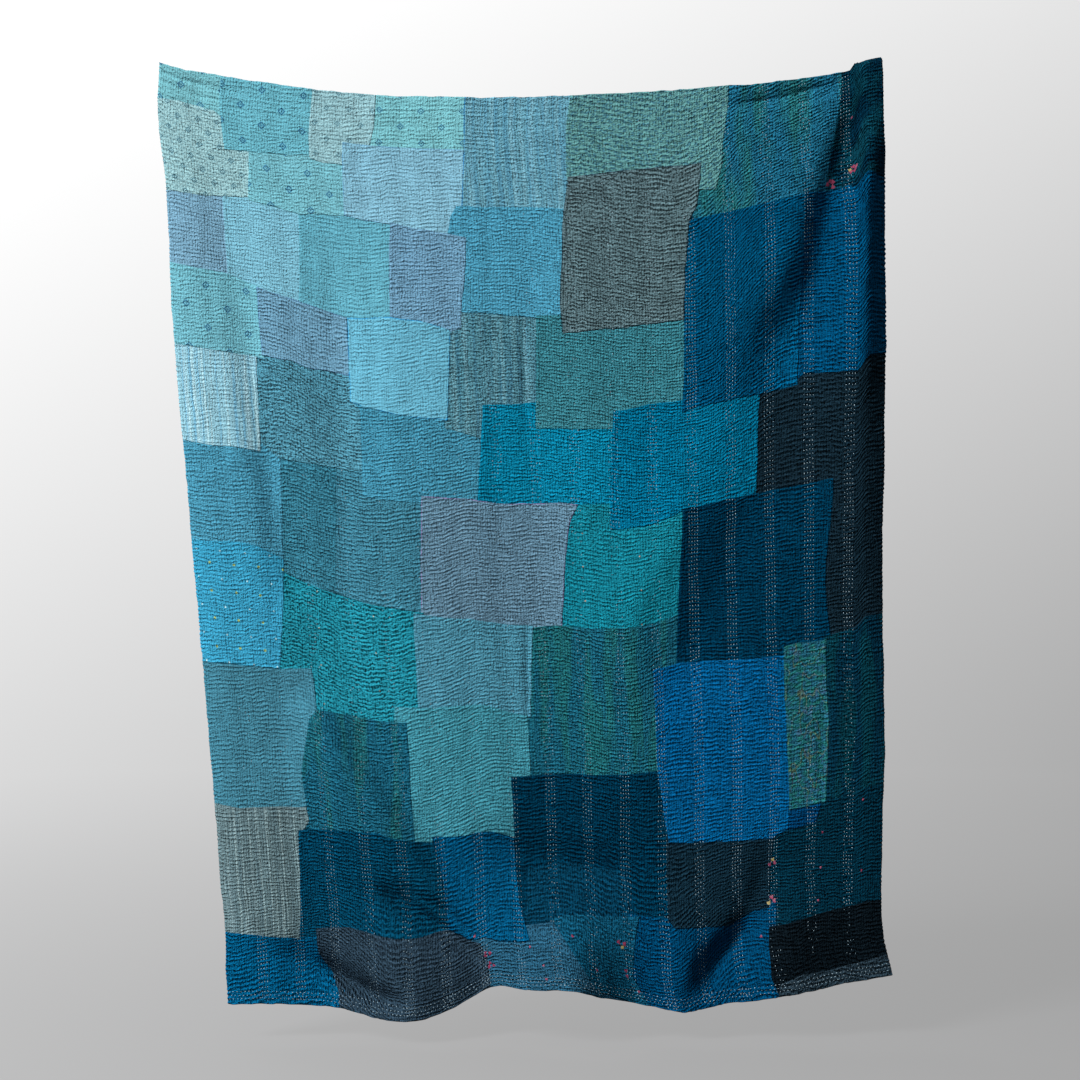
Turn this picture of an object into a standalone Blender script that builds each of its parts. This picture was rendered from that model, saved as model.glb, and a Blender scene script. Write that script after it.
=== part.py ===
"""Patchwork kantha quilt, held up by its two top corners and hanging free.

Metres, +Z up. The origin is the middle of the top edge. +X runs to the quilt's right as seen from
its front, and the front faces -Y. The quilt is one stitched cloth of several thin cotton layers,
so it is one closed sheet: its outline, its hanging folds, the roll at its right-hand corner and
the shallow troughs that the close rows of running stitch draw in.
"""

import bpy
import numpy as np

# Driving sizes.
CLOTH_WIDTH = 1.40
CLOTH_LENGTH = 1.78
CLOTH_THICKNESS = 0.003

# The grid's spacing across and down: finer at the rolled corner and where the hem crumples.
STITCH_GROUP_PITCH = 0.078
COLUMNS_PER_GROUP = 3
EDGE_BAND = 0.066
EDGE_COLUMNS = 7
TOP_BAND = 0.050
TOP_ROWS = 7
HEM_BAND = 0.36
HEM_ROWS = 17
MIDDLE_ROWS = 23

# Each group of stitch rows draws the cloth in by this much.
STITCH_TROUGH = 0.0015

# The corner that the right hand gathers: a strip of the top edge rolls back over the fist.
ROLL_START = 0.955
ROLL_BLEND = 0.020
ROLL_STRIP = 0.044
ROLL_RADIUS = 0.013

# Edge outlines, as seen from the front. Across and height are measured from the origin.
TOP_EDGE = {
    "share": (0, 0.04, 0.08, 0.14, 0.20, 0.27, 0.34, 0.50, 0.61, 0.75, 0.86, 0.94, 1.0),
    "height": (0.064, 0.051, 0.042, 0.028, 0.017, 0.007, 0.002, 0.000, 0.006, 0.017, 0.030, 0.045, 0.063),
}
HEM = {
    "share": (0, 0.10, 0.20, 0.27, 0.33, 0.375, 0.40, 0.45, 0.53, 0.57, 0.63, 0.68, 0.76, 0.88, 1.0),
    "height": (
        -1.703, -1.707, -1.720, -1.728, -1.713, -1.688, -1.671, -1.668, -1.668, -1.686, -1.706, -1.714,
        -1.701, -1.677, -1.652,
    ),
}
LEFT_EDGE = {
    "share": (0, 0.04, 0.12, 0.25, 0.40, 0.60, 0.80, 0.92, 1.0),
    "across": (-0.677, -0.681, -0.667, -0.655, -0.634, -0.602, -0.572, -0.554, -0.549),
}
RIGHT_EDGE = {
    "share": (0, 0.05, 0.12, 0.20, 0.30, 0.42, 0.60, 0.75, 0.89, 0.96, 1.0),
    "across": (0.681, 0.684, 0.690, 0.694, 0.692, 0.687, 0.684, 0.687, 0.681, 0.686, 0.701),
}

# Folds that run down the cloth. Each section gives how far below the origin it is, where the
# fold's middle is across, how wide each flank is, and how far it stands forward (+) or back (-).
DOWN_FOLDS = {
    "right_hand_trough": {
        "drop": (-0.02, 0.06, 0.12, 0.20, 0.30, 0.40, 0.50, 0.62, 0.74, 0.84, 0.95, 1.08, 1.20),
        "across": (
            0.650, 0.622, 0.607, 0.587, 0.572, 0.538, 0.490, 0.468, 0.453, 0.415, 0.370, 0.302, 0.270,
        ),
        "left": (0.028, 0.030, 0.032, 0.036, 0.046, 0.058, 0.066, 0.060, 0.056, 0.052, 0.050, 0.050, 0.050),
        "right": (0.026, 0.030, 0.034, 0.038, 0.050, 0.064, 0.072, 0.080, 0.080, 0.080, 0.080, 0.070, 0.060),
        "forward": (
            0.0, -0.020, -0.030, -0.038, -0.048, -0.048, -0.038, -0.028, -0.023, -0.020, -0.018, -0.015, 0.0,
        ),
    },
    "right_hand_ridge": {
        "drop": (0.00, 0.10, 0.25, 0.45, 0.60, 0.80, 1.04, 1.32, 1.52, 1.66),
        "across": (0.660, 0.652, 0.644, 0.640, 0.634, 0.628, 0.622, 0.622, 0.624, 0.620),
        "left": (0.026, 0.030, 0.042, 0.050, 0.054, 0.060, 0.066, 0.064, 0.054, 0.050),
        "right": (0.024, 0.028, 0.034, 0.038, 0.040, 0.042, 0.046, 0.046, 0.046, 0.046),
        "forward": (0.0, 0.014, 0.036, 0.038, 0.020, 0.014, 0.008, 0.006, 0.005, 0.0),
    },
    "left_edge_ridge": {
        "drop": (0.02, 0.30, 0.70, 1.10, 1.45, 1.76),
        "across": (-0.655, -0.632, -0.585, -0.542, -0.525, -0.515),
        "left": (0.050, 0.060, 0.060, 0.060, 0.060, 0.060),
        "right": (0.050, 0.070, 0.080, 0.080, 0.080, 0.070),
        "forward": (0.0, 0.004, 0.008, 0.012, 0.014, 0.012),
    },
    "left_hand_valley": {
        "drop": (0.05, 0.20, 0.38, 0.57, 0.78, 0.90, 1.00),
        "across": (-0.585, -0.560, -0.530, -0.493, -0.454, -0.434, -0.425),
        "left": (0.030, 0.032, 0.034, 0.034, 0.030, 0.028, 0.028),
        "right": (0.040, 0.045, 0.050, 0.050, 0.045, 0.040, 0.040),
        "forward": (0.0, -0.007, -0.012, -0.016, -0.017, -0.016, 0.0),
    },
    "left_inner_valley": {
        "drop": (0.20, 0.45, 0.70, 0.98, 1.20),
        "across": (-0.342, -0.342, -0.342, -0.346, -0.350),
        "left": (0.080, 0.090, 0.090, 0.080, 0.070),
        "right": (0.036, 0.036, 0.036, 0.040, 0.045),
        "forward": (0.0, -0.008, -0.012, -0.010, 0.0),
    },
    "left_inner_swell": {
        "drop": (0.10, 0.50, 0.90, 1.25, 1.46),
        "across": (-0.230, -0.220, -0.205, -0.190, -0.180),
        "left": (0.070, 0.080, 0.080, 0.080, 0.080),
        "right": (0.100, 0.100, 0.100, 0.090, 0.090),
        "forward": (0.0, 0.010, 0.016, 0.016, 0.0),
    },
    "middle_valley": {
        "drop": (0.05, 0.40, 0.80, 1.20, 1.40, 1.54),
        "across": (0.020, 0.022, 0.030, 0.040, 0.040, 0.040),
        "left": (0.070, 0.080, 0.090, 0.090, 0.090, 0.090),
        "right": (0.060, 0.070, 0.080, 0.100, 0.110, 0.110),
        "forward": (0.0, -0.008, -0.014, -0.020, -0.020, 0.0),
    },
    "right_inner_swell": {
        "drop": (0.62, 0.74, 0.82, 0.90, 0.98, 1.08, 1.28, 1.50),
        "across": (0.320, 0.302, 0.286, 0.246, 0.206, 0.196, 0.206, 0.240),
        "left": (0.090, 0.080, 0.070, 0.070, 0.070, 0.080, 0.090, 0.090),
        "right": (0.040, 0.038, 0.036, 0.036, 0.038, 0.050, 0.070, 0.080),
        "forward": (0.0, 0.008, 0.011, 0.012, 0.011, 0.010, 0.010, 0.0),
    },
    "lower_left_ridge": {
        "drop": (1.10, 1.16, 1.22, 1.30, 1.38, 1.46, 1.56, 1.66),
        "across": (-0.400, -0.380, -0.350, -0.294, -0.240, -0.196, -0.150, -0.120),
        "left": (0.034, 0.040, 0.050, 0.080, 0.090, 0.080, 0.050, 0.040),
        "right": (0.026, 0.028, 0.030, 0.034, 0.038, 0.042, 0.044, 0.040),
        "forward": (0.0, 0.020, 0.036, 0.042, 0.036, 0.022, 0.008, 0.0),
    },
    "left_hem_trough": {
        "drop": (1.26, 1.40, 1.52, 1.62, 1.78),
        "across": (-0.425, -0.410, -0.390, -0.368, -0.345),
        "left": (0.060, 0.062, 0.062, 0.060, 0.056),
        "right": (0.046, 0.048, 0.048, 0.046, 0.044),
        "forward": (0.0, -0.006, -0.010, -0.014, -0.018),
    },
    "left_hem_lobe": {
        "drop": (1.48, 1.56, 1.63, 1.69, 1.78),
        "across": (-0.250, -0.240, -0.228, -0.215, -0.205),
        "left": (0.066, 0.074, 0.080, 0.082, 0.082),
        "right": (0.066, 0.072, 0.080, 0.082, 0.082),
        "forward": (0.0, 0.020, 0.048, 0.064, 0.066),
    },
    "left_hem_tuck": {
        "drop": (1.58, 1.65, 1.70, 1.78),
        "across": (-0.086, -0.074, -0.066, -0.060),
        "left": (0.036, 0.038, 0.038, 0.038),
        "right": (0.030, 0.032, 0.034, 0.034),
        "forward": (0.0, -0.024, -0.032, -0.034),
    },
    "shoe_ledge": {
        "drop": (1.44, 1.53, 1.60, 1.65, 1.78),
        "across": (0.075, 0.080, 0.088, 0.092, 0.096),
        "left": (0.090, 0.110, 0.122, 0.126, 0.126),
        "right": (0.060, 0.070, 0.078, 0.082, 0.084),
        "forward": (0.0, 0.026, 0.078, 0.098, 0.092),
    },
    "right_hem_lobe": {
        "drop": (1.46, 1.56, 1.64, 1.78),
        "across": (0.276, 0.292, 0.304, 0.318),
        "left": (0.034, 0.038, 0.044, 0.050),
        "right": (0.050, 0.056, 0.060, 0.056),
        "forward": (0.0, 0.028, 0.042, 0.044),
    },
    "right_hem_trough": {
        "drop": (1.34, 1.44, 1.53, 1.59, 1.65, 1.76),
        "across": (0.476, 0.468, 0.440, 0.400, 0.352, 0.310),
        "left": (0.030, 0.030, 0.030, 0.030, 0.030, 0.030),
        "right": (0.040, 0.046, 0.050, 0.050, 0.044, 0.036),
        "forward": (0.0, -0.013, -0.022, -0.028, -0.024, 0.0),
    },
    "right_hem_swell": {
        "drop": (1.44, 1.58, 1.78),
        "across": (0.510, 0.500, 0.496),
        "left": (0.056, 0.064, 0.076),
        "right": (0.060, 0.070, 0.080),
        "forward": (0.0, 0.026, 0.036),
    },
}

# Folds that run across the cloth: where along it, how far down its middle is, how deep each
# flank is, and how far it stands forward or back.
ACROSS_FOLDS = {
    "under_ridge_wedge": {
        "across": (-0.285, -0.23, -0.16, -0.10, -0.04),
        "drop": (1.476, 1.514, 1.562, 1.600, 1.630),
        "above": (0.022, 0.024, 0.026, 0.024, 0.022),
        "below": (0.020, 0.022, 0.022, 0.022, 0.020),
        "forward": (0.0, -0.030, -0.046, -0.034, 0.0),
    },
    "lobe_crease": {
        "across": (-0.500, -0.430, -0.360, -0.300, -0.250, -0.190),
        "drop": (1.600, 1.618, 1.650, 1.678, 1.694, 1.706),
        "above": (0.028, 0.032, 0.034, 0.032, 0.030, 0.026),
        "below": (0.020, 0.022, 0.022, 0.020, 0.018, 0.018),
        "forward": (0.0, -0.016, -0.034, -0.046, -0.036, 0.0),
    },
    "knee_trough": {
        "across": (-0.12, -0.04, 0.06, 0.16, 0.26),
        "drop": (1.396, 1.418, 1.440, 1.462, 1.480),
        "above": (0.036, 0.040, 0.044, 0.044, 0.040),
        "below": (0.050, 0.056, 0.060, 0.060, 0.050),
        "forward": (0.0, -0.014, -0.026, -0.028, 0.0),
    },
    "right_hand_drag": {
        "across": (0.34, 0.42, 0.50, 0.58, 0.66),
        "drop": (0.020, 0.010, -0.004, -0.022, -0.042),
        "above": (0.016, 0.016, 0.016, 0.014, 0.014),
        "below": (0.018, 0.018, 0.018, 0.016, 0.014),
        "forward": (0.0, -0.006, -0.008, -0.006, 0.0),
    },
}

# The right-hand edge turns back behind the ridge; this gives how wide and how deep, down the edge.
EDGE_TURN = {
    "share": (0, 0.06, 0.105, 0.15, 0.28, 0.36, 0.50, 0.75, 0.90, 1.0),
    "width": (0.030, 0.034, 0.042, 0.052, 0.055, 0.050, 0.046, 0.040, 0.036, 0.034),
    "back": (0.004, 0.008, 0.016, 0.040, 0.042, 0.018, 0.013, 0.005, 0.002, 0.002),
}


def smooth(table, key, value, at, eased=False):
    """The table's value at each place, on one curve through its rows, level past its ends."""
    places = np.array(table[key], float)
    values = np.array(table[value], float)
    slopes = np.gradient(values, places)
    if eased:
        slopes[0] = slopes[-1] = 0
    at = np.clip(at, places[0], places[-1])
    i = np.clip(np.searchsorted(places, at) - 1, 0, len(places) - 2)
    span = places[i + 1] - places[i]
    t = (at - places[i]) / span
    rest = 1 - t
    return (
        values[i] * rest * rest * (1 + 2 * t)
        + values[i + 1] * t * t * (1 + 2 * rest)
        + span * t * rest * (slopes[i] * rest - slopes[i + 1] * t)
    )


def ease(t):
    """0 to 1 with a soft start and end."""
    t = np.clip(t, 0, 1)
    return t * t * (3 - 2 * t)


def fold(table, run, aside, flanks, along, other):
    """How far a fold pushes forward: a soft hump about its curved middle, with unlike flanks."""
    middle = smooth(table, run, aside, along)
    step = 0.01
    lean = (smooth(table, run, aside, along + step) - middle) / step
    away = (other - middle) / np.sqrt(1 + lean * lean)
    low = smooth(table, run, flanks[0], along, True)
    high = smooth(table, run, flanks[1], along, True)
    forward = smooth(table, run, "forward", along, True)
    return forward * np.exp(-((away / np.where(away < 0, low, high)) ** 2))


def forward_stand(x, z):
    """How far the hanging cloth stands in front of the plane of the two hands."""
    drop = -z
    total = np.zeros_like(x)
    for table in DOWN_FOLDS.values():
        total += fold(table, "drop", "across", ("left", "right"), drop, x)
    for table in ACROSS_FOLDS.values():
        total += fold(table, "across", "drop", ("above", "below"), x, drop)
    return total


def hung(across, down):
    """Where the cloth's front is. Across and down are lengths on the flat cloth from its top left."""
    u = across / CLOTH_WIDTH
    v = down / CLOTH_LENGTH
    strip = ROLL_STRIP * ease((u - ROLL_START) / ROLL_BLEND)
    top = smooth(TOP_EDGE, "share", "height", u) + strip
    hem = smooth(HEM, "share", "height", u)
    left = smooth(LEFT_EDGE, "share", "across", v)
    right = smooth(RIGHT_EDGE, "share", "across", v)
    x = left + (right - left) * u
    z = top + (hem - top) * v
    y = -forward_stand(x, z)
    # The right-hand edge turns back.
    width = smooth(EDGE_TURN, "share", "width", v)
    back = smooth(EDGE_TURN, "share", "back", v)
    y += back * np.clip(1 - (right - x) / width, 0, 1) ** 1.6
    # Rows of stitch draw the cloth in along each group.
    group = across / STITCH_GROUP_PITCH
    y += STITCH_TROUGH * np.clip(1 - np.abs(group - np.round(group)) * COLUMNS_PER_GROUP, 0, 1)
    # The strip past the fist rolls over backwards.
    over = np.clip(strip - down, 0, None)
    angle = over / ROLL_RADIUS
    z += ROLL_RADIUS * np.sin(angle) - over
    y += ROLL_RADIUS * (1 - np.cos(angle))
    return x, y, z


def spread(start, end, steps):
    """Evenly spaced places from start to end, without the last."""
    return [start + (end - start) * i / steps for i in range(steps)]


def grid_places():
    """The places of the grid's columns and rows on the flat cloth."""
    column_pitch = STITCH_GROUP_PITCH / COLUMNS_PER_GROUP
    whole = int((CLOTH_WIDTH - EDGE_BAND) / column_pitch)
    columns = [i * column_pitch for i in range(whole)]
    columns += spread(whole * column_pitch, CLOTH_WIDTH, EDGE_COLUMNS) + [CLOTH_WIDTH]
    hem_start = CLOTH_LENGTH - HEM_BAND
    rows = spread(0, TOP_BAND, TOP_ROWS) + spread(TOP_BAND, hem_start, MIDDLE_ROWS)
    rows += spread(hem_start, CLOTH_LENGTH, HEM_ROWS) + [CLOTH_LENGTH]
    return columns, rows


def cotton(name, colour, roughness):
    """A plain dyed cotton."""
    material = bpy.data.materials.new(name)
    material.use_nodes = True
    shader = material.node_tree.nodes["Principled BSDF"]
    shader.inputs["Base Color"].default_value = (*colour, 1)
    shader.inputs["Roughness"].default_value = roughness
    shader.inputs["Metallic"].default_value = 0
    material.diffuse_color = (*colour, 1)
    return material


def triangles(points, columns, rows):
    """The grid's faces: each cell is split along the diagonal that lies nearer the true surface."""
    middle_columns = (np.array(columns[1:]) + columns[:-1]) / 2
    middle_rows = (np.array(rows[1:]) + rows[:-1]) / 2
    middle = np.stack(hung(*np.meshgrid(middle_columns, middle_rows)), axis=-1)
    falling = (points[:-1, :-1] + points[1:, 1:]) / 2
    rising = (points[1:, :-1] + points[:-1, 1:]) / 2
    falls = np.linalg.norm(falling - middle, axis=-1) < np.linalg.norm(rising - middle, axis=-1)
    wide = len(columns)
    faces = []
    for j in range(len(rows) - 1):
        for i in range(wide - 1):
            above = j * wide + i
            below = above + wide
            if falls[j, i]:
                faces += [(above, below, below + 1), (above, below + 1, above + 1)]
            else:
                faces += [(above, below, above + 1), (above + 1, below, below + 1)]
    return faces


def make_quilt():
    """The quilted cloth: its front as a grid of the hung shape, given its thickness backwards."""
    columns, rows = grid_places()
    points = np.stack(hung(*np.meshgrid(columns, rows)), axis=-1)
    mesh = bpy.data.meshes.new("quilt")
    mesh.from_pydata(points.reshape(-1, 3).tolist(), [], triangles(points, columns, rows))
    mesh.materials.append(cotton("dyed_cotton", (0.03, 0.22, 0.30), 0.9))
    mesh.shade_smooth()
    quilt = bpy.data.objects.new("quilt", mesh)
    bpy.context.scene.collection.objects.link(quilt)
    layers = quilt.modifiers.new("layers", "SOLIDIFY")
    layers.thickness = CLOTH_THICKNESS
    layers.offset = -1
    layers.use_even_offset = True
    return quilt


for thing in list(bpy.data.objects):
    bpy.data.objects.remove(thing)
make_quilt()
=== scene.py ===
import math

import bmesh
import bpy
import numpy as np
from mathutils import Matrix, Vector


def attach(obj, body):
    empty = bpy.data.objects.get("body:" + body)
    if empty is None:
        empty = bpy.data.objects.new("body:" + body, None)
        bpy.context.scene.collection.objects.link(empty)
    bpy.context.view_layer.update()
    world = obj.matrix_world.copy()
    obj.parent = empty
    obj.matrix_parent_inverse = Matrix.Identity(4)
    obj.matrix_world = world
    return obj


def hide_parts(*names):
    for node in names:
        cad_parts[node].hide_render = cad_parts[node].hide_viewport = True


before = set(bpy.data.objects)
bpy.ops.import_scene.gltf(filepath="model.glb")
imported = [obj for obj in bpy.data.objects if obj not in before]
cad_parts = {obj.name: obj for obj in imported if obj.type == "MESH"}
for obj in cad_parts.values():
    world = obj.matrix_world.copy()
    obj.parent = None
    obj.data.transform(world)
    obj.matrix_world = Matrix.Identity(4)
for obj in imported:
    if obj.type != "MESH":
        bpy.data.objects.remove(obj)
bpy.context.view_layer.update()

cloth = {"width": 1.40, "length": 1.78, "thickness": 0.003}

# How the quilt hangs: the same outlines and folds as the solid.
topEdge = {
    "share": (0, 0.04, 0.08, 0.14, 0.20, 0.27, 0.34, 0.50, 0.61, 0.75, 0.86, 0.94, 1.0),
    "height": (0.064, 0.051, 0.042, 0.028, 0.017, 0.007, 0.002, 0.000, 0.006, 0.017, 0.030, 0.045, 0.063),
}
hemEdge = {
    "share": (0, 0.10, 0.20, 0.27, 0.33, 0.375, 0.40, 0.45, 0.53, 0.57, 0.63, 0.68, 0.76, 0.88, 1.0),
    "height": (
        -1.703, -1.707, -1.720, -1.728, -1.713, -1.688, -1.671, -1.668, -1.668, -1.686, -1.706, -1.714,
        -1.701, -1.677, -1.652,
    ),
}
leftEdge = {
    "share": (0, 0.04, 0.12, 0.25, 0.40, 0.60, 0.80, 0.92, 1.0),
    "across": (-0.677, -0.681, -0.667, -0.655, -0.634, -0.602, -0.572, -0.554, -0.549),
}
rightEdge = {
    "share": (0, 0.05, 0.12, 0.20, 0.30, 0.42, 0.60, 0.75, 0.89, 0.96, 1.0),
    "across": (0.681, 0.684, 0.690, 0.694, 0.692, 0.687, 0.684, 0.687, 0.681, 0.686, 0.701),
}
# The right-hand edge turns back behind the ridge: how wide and how deep, down the edge.
edgeTurn = {
    "share": (0, 0.06, 0.105, 0.15, 0.28, 0.36, 0.50, 0.75, 0.90, 1.0),
    "width": (0.030, 0.034, 0.042, 0.052, 0.055, 0.050, 0.046, 0.040, 0.036, 0.034),
    "back": (0.004, 0.008, 0.016, 0.040, 0.042, 0.018, 0.013, 0.005, 0.002, 0.002),
    "curve": 1.6,
}
# The strip of the top edge past the right-hand fist rolls over backwards.
roll = {"start": 0.955, "blend": 0.020, "strip": 0.044, "radius": 0.013}
# The cloth sinks a little along each group of stitch rows.
stitchGroups = {"pitch": 0.078, "width": 0.026, "trough": 0.0015}

# Folds that run down the cloth, in sections from the top, in millimetres: how far below the origin,
# where the fold's middle is across, how wide its left and its right flank are, and how far it stands
# forward (+) or back (-).
downFolds = {
    "rightHandTrough": (
        (-20, 650, 28, 26, 0), (60, 622, 30, 30, -20), (120, 607, 32, 34, -30), (200, 587, 36, 38, -38),
        (300, 572, 46, 50, -48), (400, 538, 58, 64, -48), (500, 490, 66, 72, -38), (620, 468, 60, 80, -28),
        (740, 453, 56, 80, -23), (840, 415, 52, 80, -20), (950, 370, 50, 80, -18), (1080, 302, 50, 70, -15),
        (1200, 270, 50, 60, 0),
    ),
    "rightHandRidge": (
        (0, 660, 26, 24, 0), (100, 652, 30, 28, 14), (250, 644, 42, 34, 36), (450, 640, 50, 38, 38),
        (600, 634, 54, 40, 20), (800, 628, 60, 42, 14), (1040, 622, 66, 46, 8), (1320, 622, 64, 46, 6),
        (1520, 624, 54, 46, 5), (1660, 620, 50, 46, 0),
    ),
    "leftEdgeRidge": (
        (20, -655, 50, 50, 0), (300, -632, 60, 70, 4), (700, -585, 60, 80, 8), (1100, -542, 60, 80, 12),
        (1450, -525, 60, 80, 14), (1760, -515, 60, 70, 12),
    ),
    "leftHandValley": (
        (50, -585, 30, 40, 0), (200, -560, 32, 45, -7), (380, -530, 34, 50, -12), (570, -493, 34, 50, -16),
        (780, -454, 30, 45, -17), (900, -434, 28, 40, -16), (1000, -425, 28, 40, 0),
    ),
    "leftInnerValley": (
        (200, -342, 80, 36, 0), (450, -342, 90, 36, -8), (700, -342, 90, 36, -12), (980, -346, 80, 40, -10),
        (1200, -350, 70, 45, 0),
    ),
    "leftInnerSwell": (
        (100, -230, 70, 100, 0), (500, -220, 80, 100, 10), (900, -205, 80, 100, 16),
        (1250, -190, 80, 90, 16), (1460, -180, 80, 90, 0),
    ),
    "middleValley": (
        (50, 20, 70, 60, 0), (400, 22, 80, 70, -8), (800, 30, 90, 80, -14), (1200, 40, 90, 100, -20),
        (1400, 40, 90, 110, -20), (1540, 40, 90, 110, 0),
    ),
    "rightInnerSwell": (
        (620, 320, 90, 40, 0), (740, 302, 80, 38, 8), (820, 286, 70, 36, 11), (900, 246, 70, 36, 12),
        (980, 206, 70, 38, 11), (1080, 196, 80, 50, 10), (1280, 206, 90, 70, 10), (1500, 240, 90, 80, 0),
    ),
    "lowerLeftRidge": (
        (1100, -400, 34, 26, 0), (1160, -380, 40, 28, 20), (1220, -350, 50, 30, 36),
        (1300, -294, 80, 34, 42), (1380, -240, 90, 38, 36), (1460, -196, 80, 42, 22),
        (1560, -150, 50, 44, 8), (1660, -120, 40, 40, 0),
    ),
    "leftHemTrough": (
        (1260, -425, 60, 46, 0), (1400, -410, 62, 48, -6), (1520, -390, 62, 48, -10),
        (1620, -368, 60, 46, -14), (1780, -345, 56, 44, -18),
    ),
    "leftHemLobe": (
        (1480, -250, 66, 66, 0), (1560, -240, 74, 72, 20), (1630, -228, 80, 80, 48),
        (1690, -215, 82, 82, 64), (1780, -205, 82, 82, 66),
    ),
    "leftHemTuck": (
        (1580, -86, 36, 30, 0), (1650, -74, 38, 32, -24), (1700, -66, 38, 34, -32),
        (1780, -60, 38, 34, -34),
    ),
    "shoeLedge": (
        (1440, 75, 90, 60, 0), (1530, 80, 110, 70, 26), (1600, 88, 122, 78, 78), (1650, 92, 126, 82, 98),
        (1780, 96, 126, 84, 92),
    ),
    "rightHemLobe": (
        (1460, 276, 34, 50, 0), (1560, 292, 38, 56, 28), (1640, 304, 44, 60, 42), (1780, 318, 50, 56, 44),
    ),
    "rightHemTrough": (
        (1340, 476, 30, 40, 0), (1440, 468, 30, 46, -13), (1530, 440, 30, 50, -22),
        (1590, 400, 30, 50, -28), (1650, 352, 30, 44, -24), (1760, 310, 30, 36, 0),
    ),
    "rightHemSwell": ((1440, 510, 56, 60, 0), (1580, 500, 64, 70, 26), (1780, 496, 76, 80, 36)),
    # sharp creases left by folding, finer than the solid's folds
    "middleCrease": (
        (380, 6, 8, 6, 0), (440, 7, 8, 6, -4), (520, 9, 8, 6, -5), (600, 11, 7, 6, -3), (680, 12, 7, 6, 0),
    ),
    "middleCreaseLow": (
        (940, 14, 8, 6, 0), (1030, 15, 8, 6, -5.6), (1100, 16, 8, 6, -6.2), (1160, 16, 7, 6, -4),
        (1220, 16, 7, 6, 0),
    ),
    "rightCrease": (
        (750, 421, 6, 6, 0), (800, 421, 6, 6, -1.6), (880, 420, 6, 6, -1.6), (950, 420, 6, 6, 0),
    ),
    "rightCreaseLow": (
        (1100, 570, 9, 7, 0), (1160, 569, 9, 7, -6), (1240, 568, 9, 7, -6.6), (1300, 566, 8, 7, -5),
        (1360, 564, 8, 7, 0),
    ),
    "rightLobeCrease": (
        (1520, 462, 22, 12, 0), (1560, 432, 24, 12, -8), (1600, 398, 26, 12, -13), (1630, 372, 26, 12, -13),
        (1670, 352, 24, 12, -6), (1700, 346, 22, 12, 0),
    ),
}
# Folds that run across the cloth, in sections from the left, in millimetres: how far across, how far
# down the fold's middle is, how deep it is above and below that, and how far it stands forward or back.
acrossFolds = {
    "underRidgeWedge": (
        (-285, 1476, 22, 20, 0), (-230, 1514, 24, 22, -30), (-160, 1562, 26, 22, -46),
        (-100, 1600, 24, 22, -34), (-40, 1630, 22, 20, 0),
    ),
    "lobeCrease": (
        (-500, 1600, 28, 20, 0), (-430, 1618, 32, 22, -16), (-360, 1650, 34, 22, -34),
        (-300, 1678, 32, 20, -46), (-250, 1694, 30, 18, -36), (-190, 1706, 26, 18, 0),
    ),
    "kneeTrough": (
        (-120, 1396, 36, 50, 0), (-40, 1418, 40, 56, -14), (60, 1440, 44, 60, -26),
        (160, 1462, 44, 60, -28), (260, 1480, 40, 50, 0),
    ),
    "rightHandDrag": (
        (340, 20, 16, 18, 0), (420, 10, 16, 18, -6), (500, -4, 16, 18, -8), (580, -22, 14, 16, -6),
        (660, -42, 14, 14, 0),
    ),
    # creases, and drag lines from the two hands
    "lobeFold": (
        (-390, 1612, 18, 9, 0), (-345, 1660, 22, 8, -14), (-295, 1690, 24, 8, -18),
        (-240, 1698, 22, 8, -12), (-185, 1692, 18, 9, 0),
    ),
    "wedgeFold": (
        (-245, 1466, 12, 9, 0), (-190, 1502, 14, 8, -8), (-138, 1534, 16, 8, -15), (-94, 1566, 14, 8, -14),
        (-38, 1592, 12, 9, 0),
    ),
    "middleAcross": (
        (-330, 752, 5, 7, 0), (-200, 756, 5, 7, -1.2), (0, 765, 5, 7, -1.4), (120, 768, 5, 7, -1.2),
        (170, 768, 5, 7, 0),
    ),
    "leftAcross": ((-500, 680, 5, 7, 0), (-420, 686, 5, 7, -1.4), (-330, 692, 5, 7, 0)),
    "leftHandDragHigh": (
        (-672, -46, 4, 5, -2), (-640, -36, 5, 6, -3.4), (-600, -24, 5, 6, -3.4), (-560, -14, 5, 6, -2.4),
        (-500, -4, 5, 5, 0),
    ),
    "leftHandDragLow": (
        (-672, -30, 4, 6, -1), (-640, -18, 5, 6, -2.6), (-590, 0, 5, 6, -2.2), (-550, 12, 5, 5, 0),
    ),
    "rightHandDragFine": (
        (380, 16, 5, 6, 0), (430, 9, 5, 6, -3), (500, -3, 5, 6, -4.4), (560, -18, 5, 6, -3.4),
        (640, -38, 5, 6, 0),
    ),
    "rightHandDragLow": (
        (460, 34, 5, 6, 0), (520, 14, 5, 6, -2.4), (580, -8, 5, 6, -2.8), (640, -30, 4, 5, 0),
    ),
}
foldReach = 4.5  # how many flank widths from its middle a fold has died out


def smooth(places, values, at, eased=False):
    # a soft curve through the values given at the places
    places, values = np.array(places, float), np.array(values, float)
    slopes = np.gradient(values, places)
    if eased:
        slopes[0] = slopes[-1] = 0
    at = np.clip(at, places[0], places[-1])
    i = np.clip(np.searchsorted(places, at) - 1, 0, len(places) - 2)
    span = places[i + 1] - places[i]
    t = (at - places[i]) / span
    rest = 1 - t
    return (
        values[i] * rest * rest * (1 + 2 * t)
        + values[i + 1] * t * t * (1 + 2 * rest)
        + span * t * rest * (slopes[i] * rest - slopes[i + 1] * t)
    )


def ease(t):
    t = np.clip(t, 0, 1)
    return t * t * (3 - 2 * t)


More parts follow.
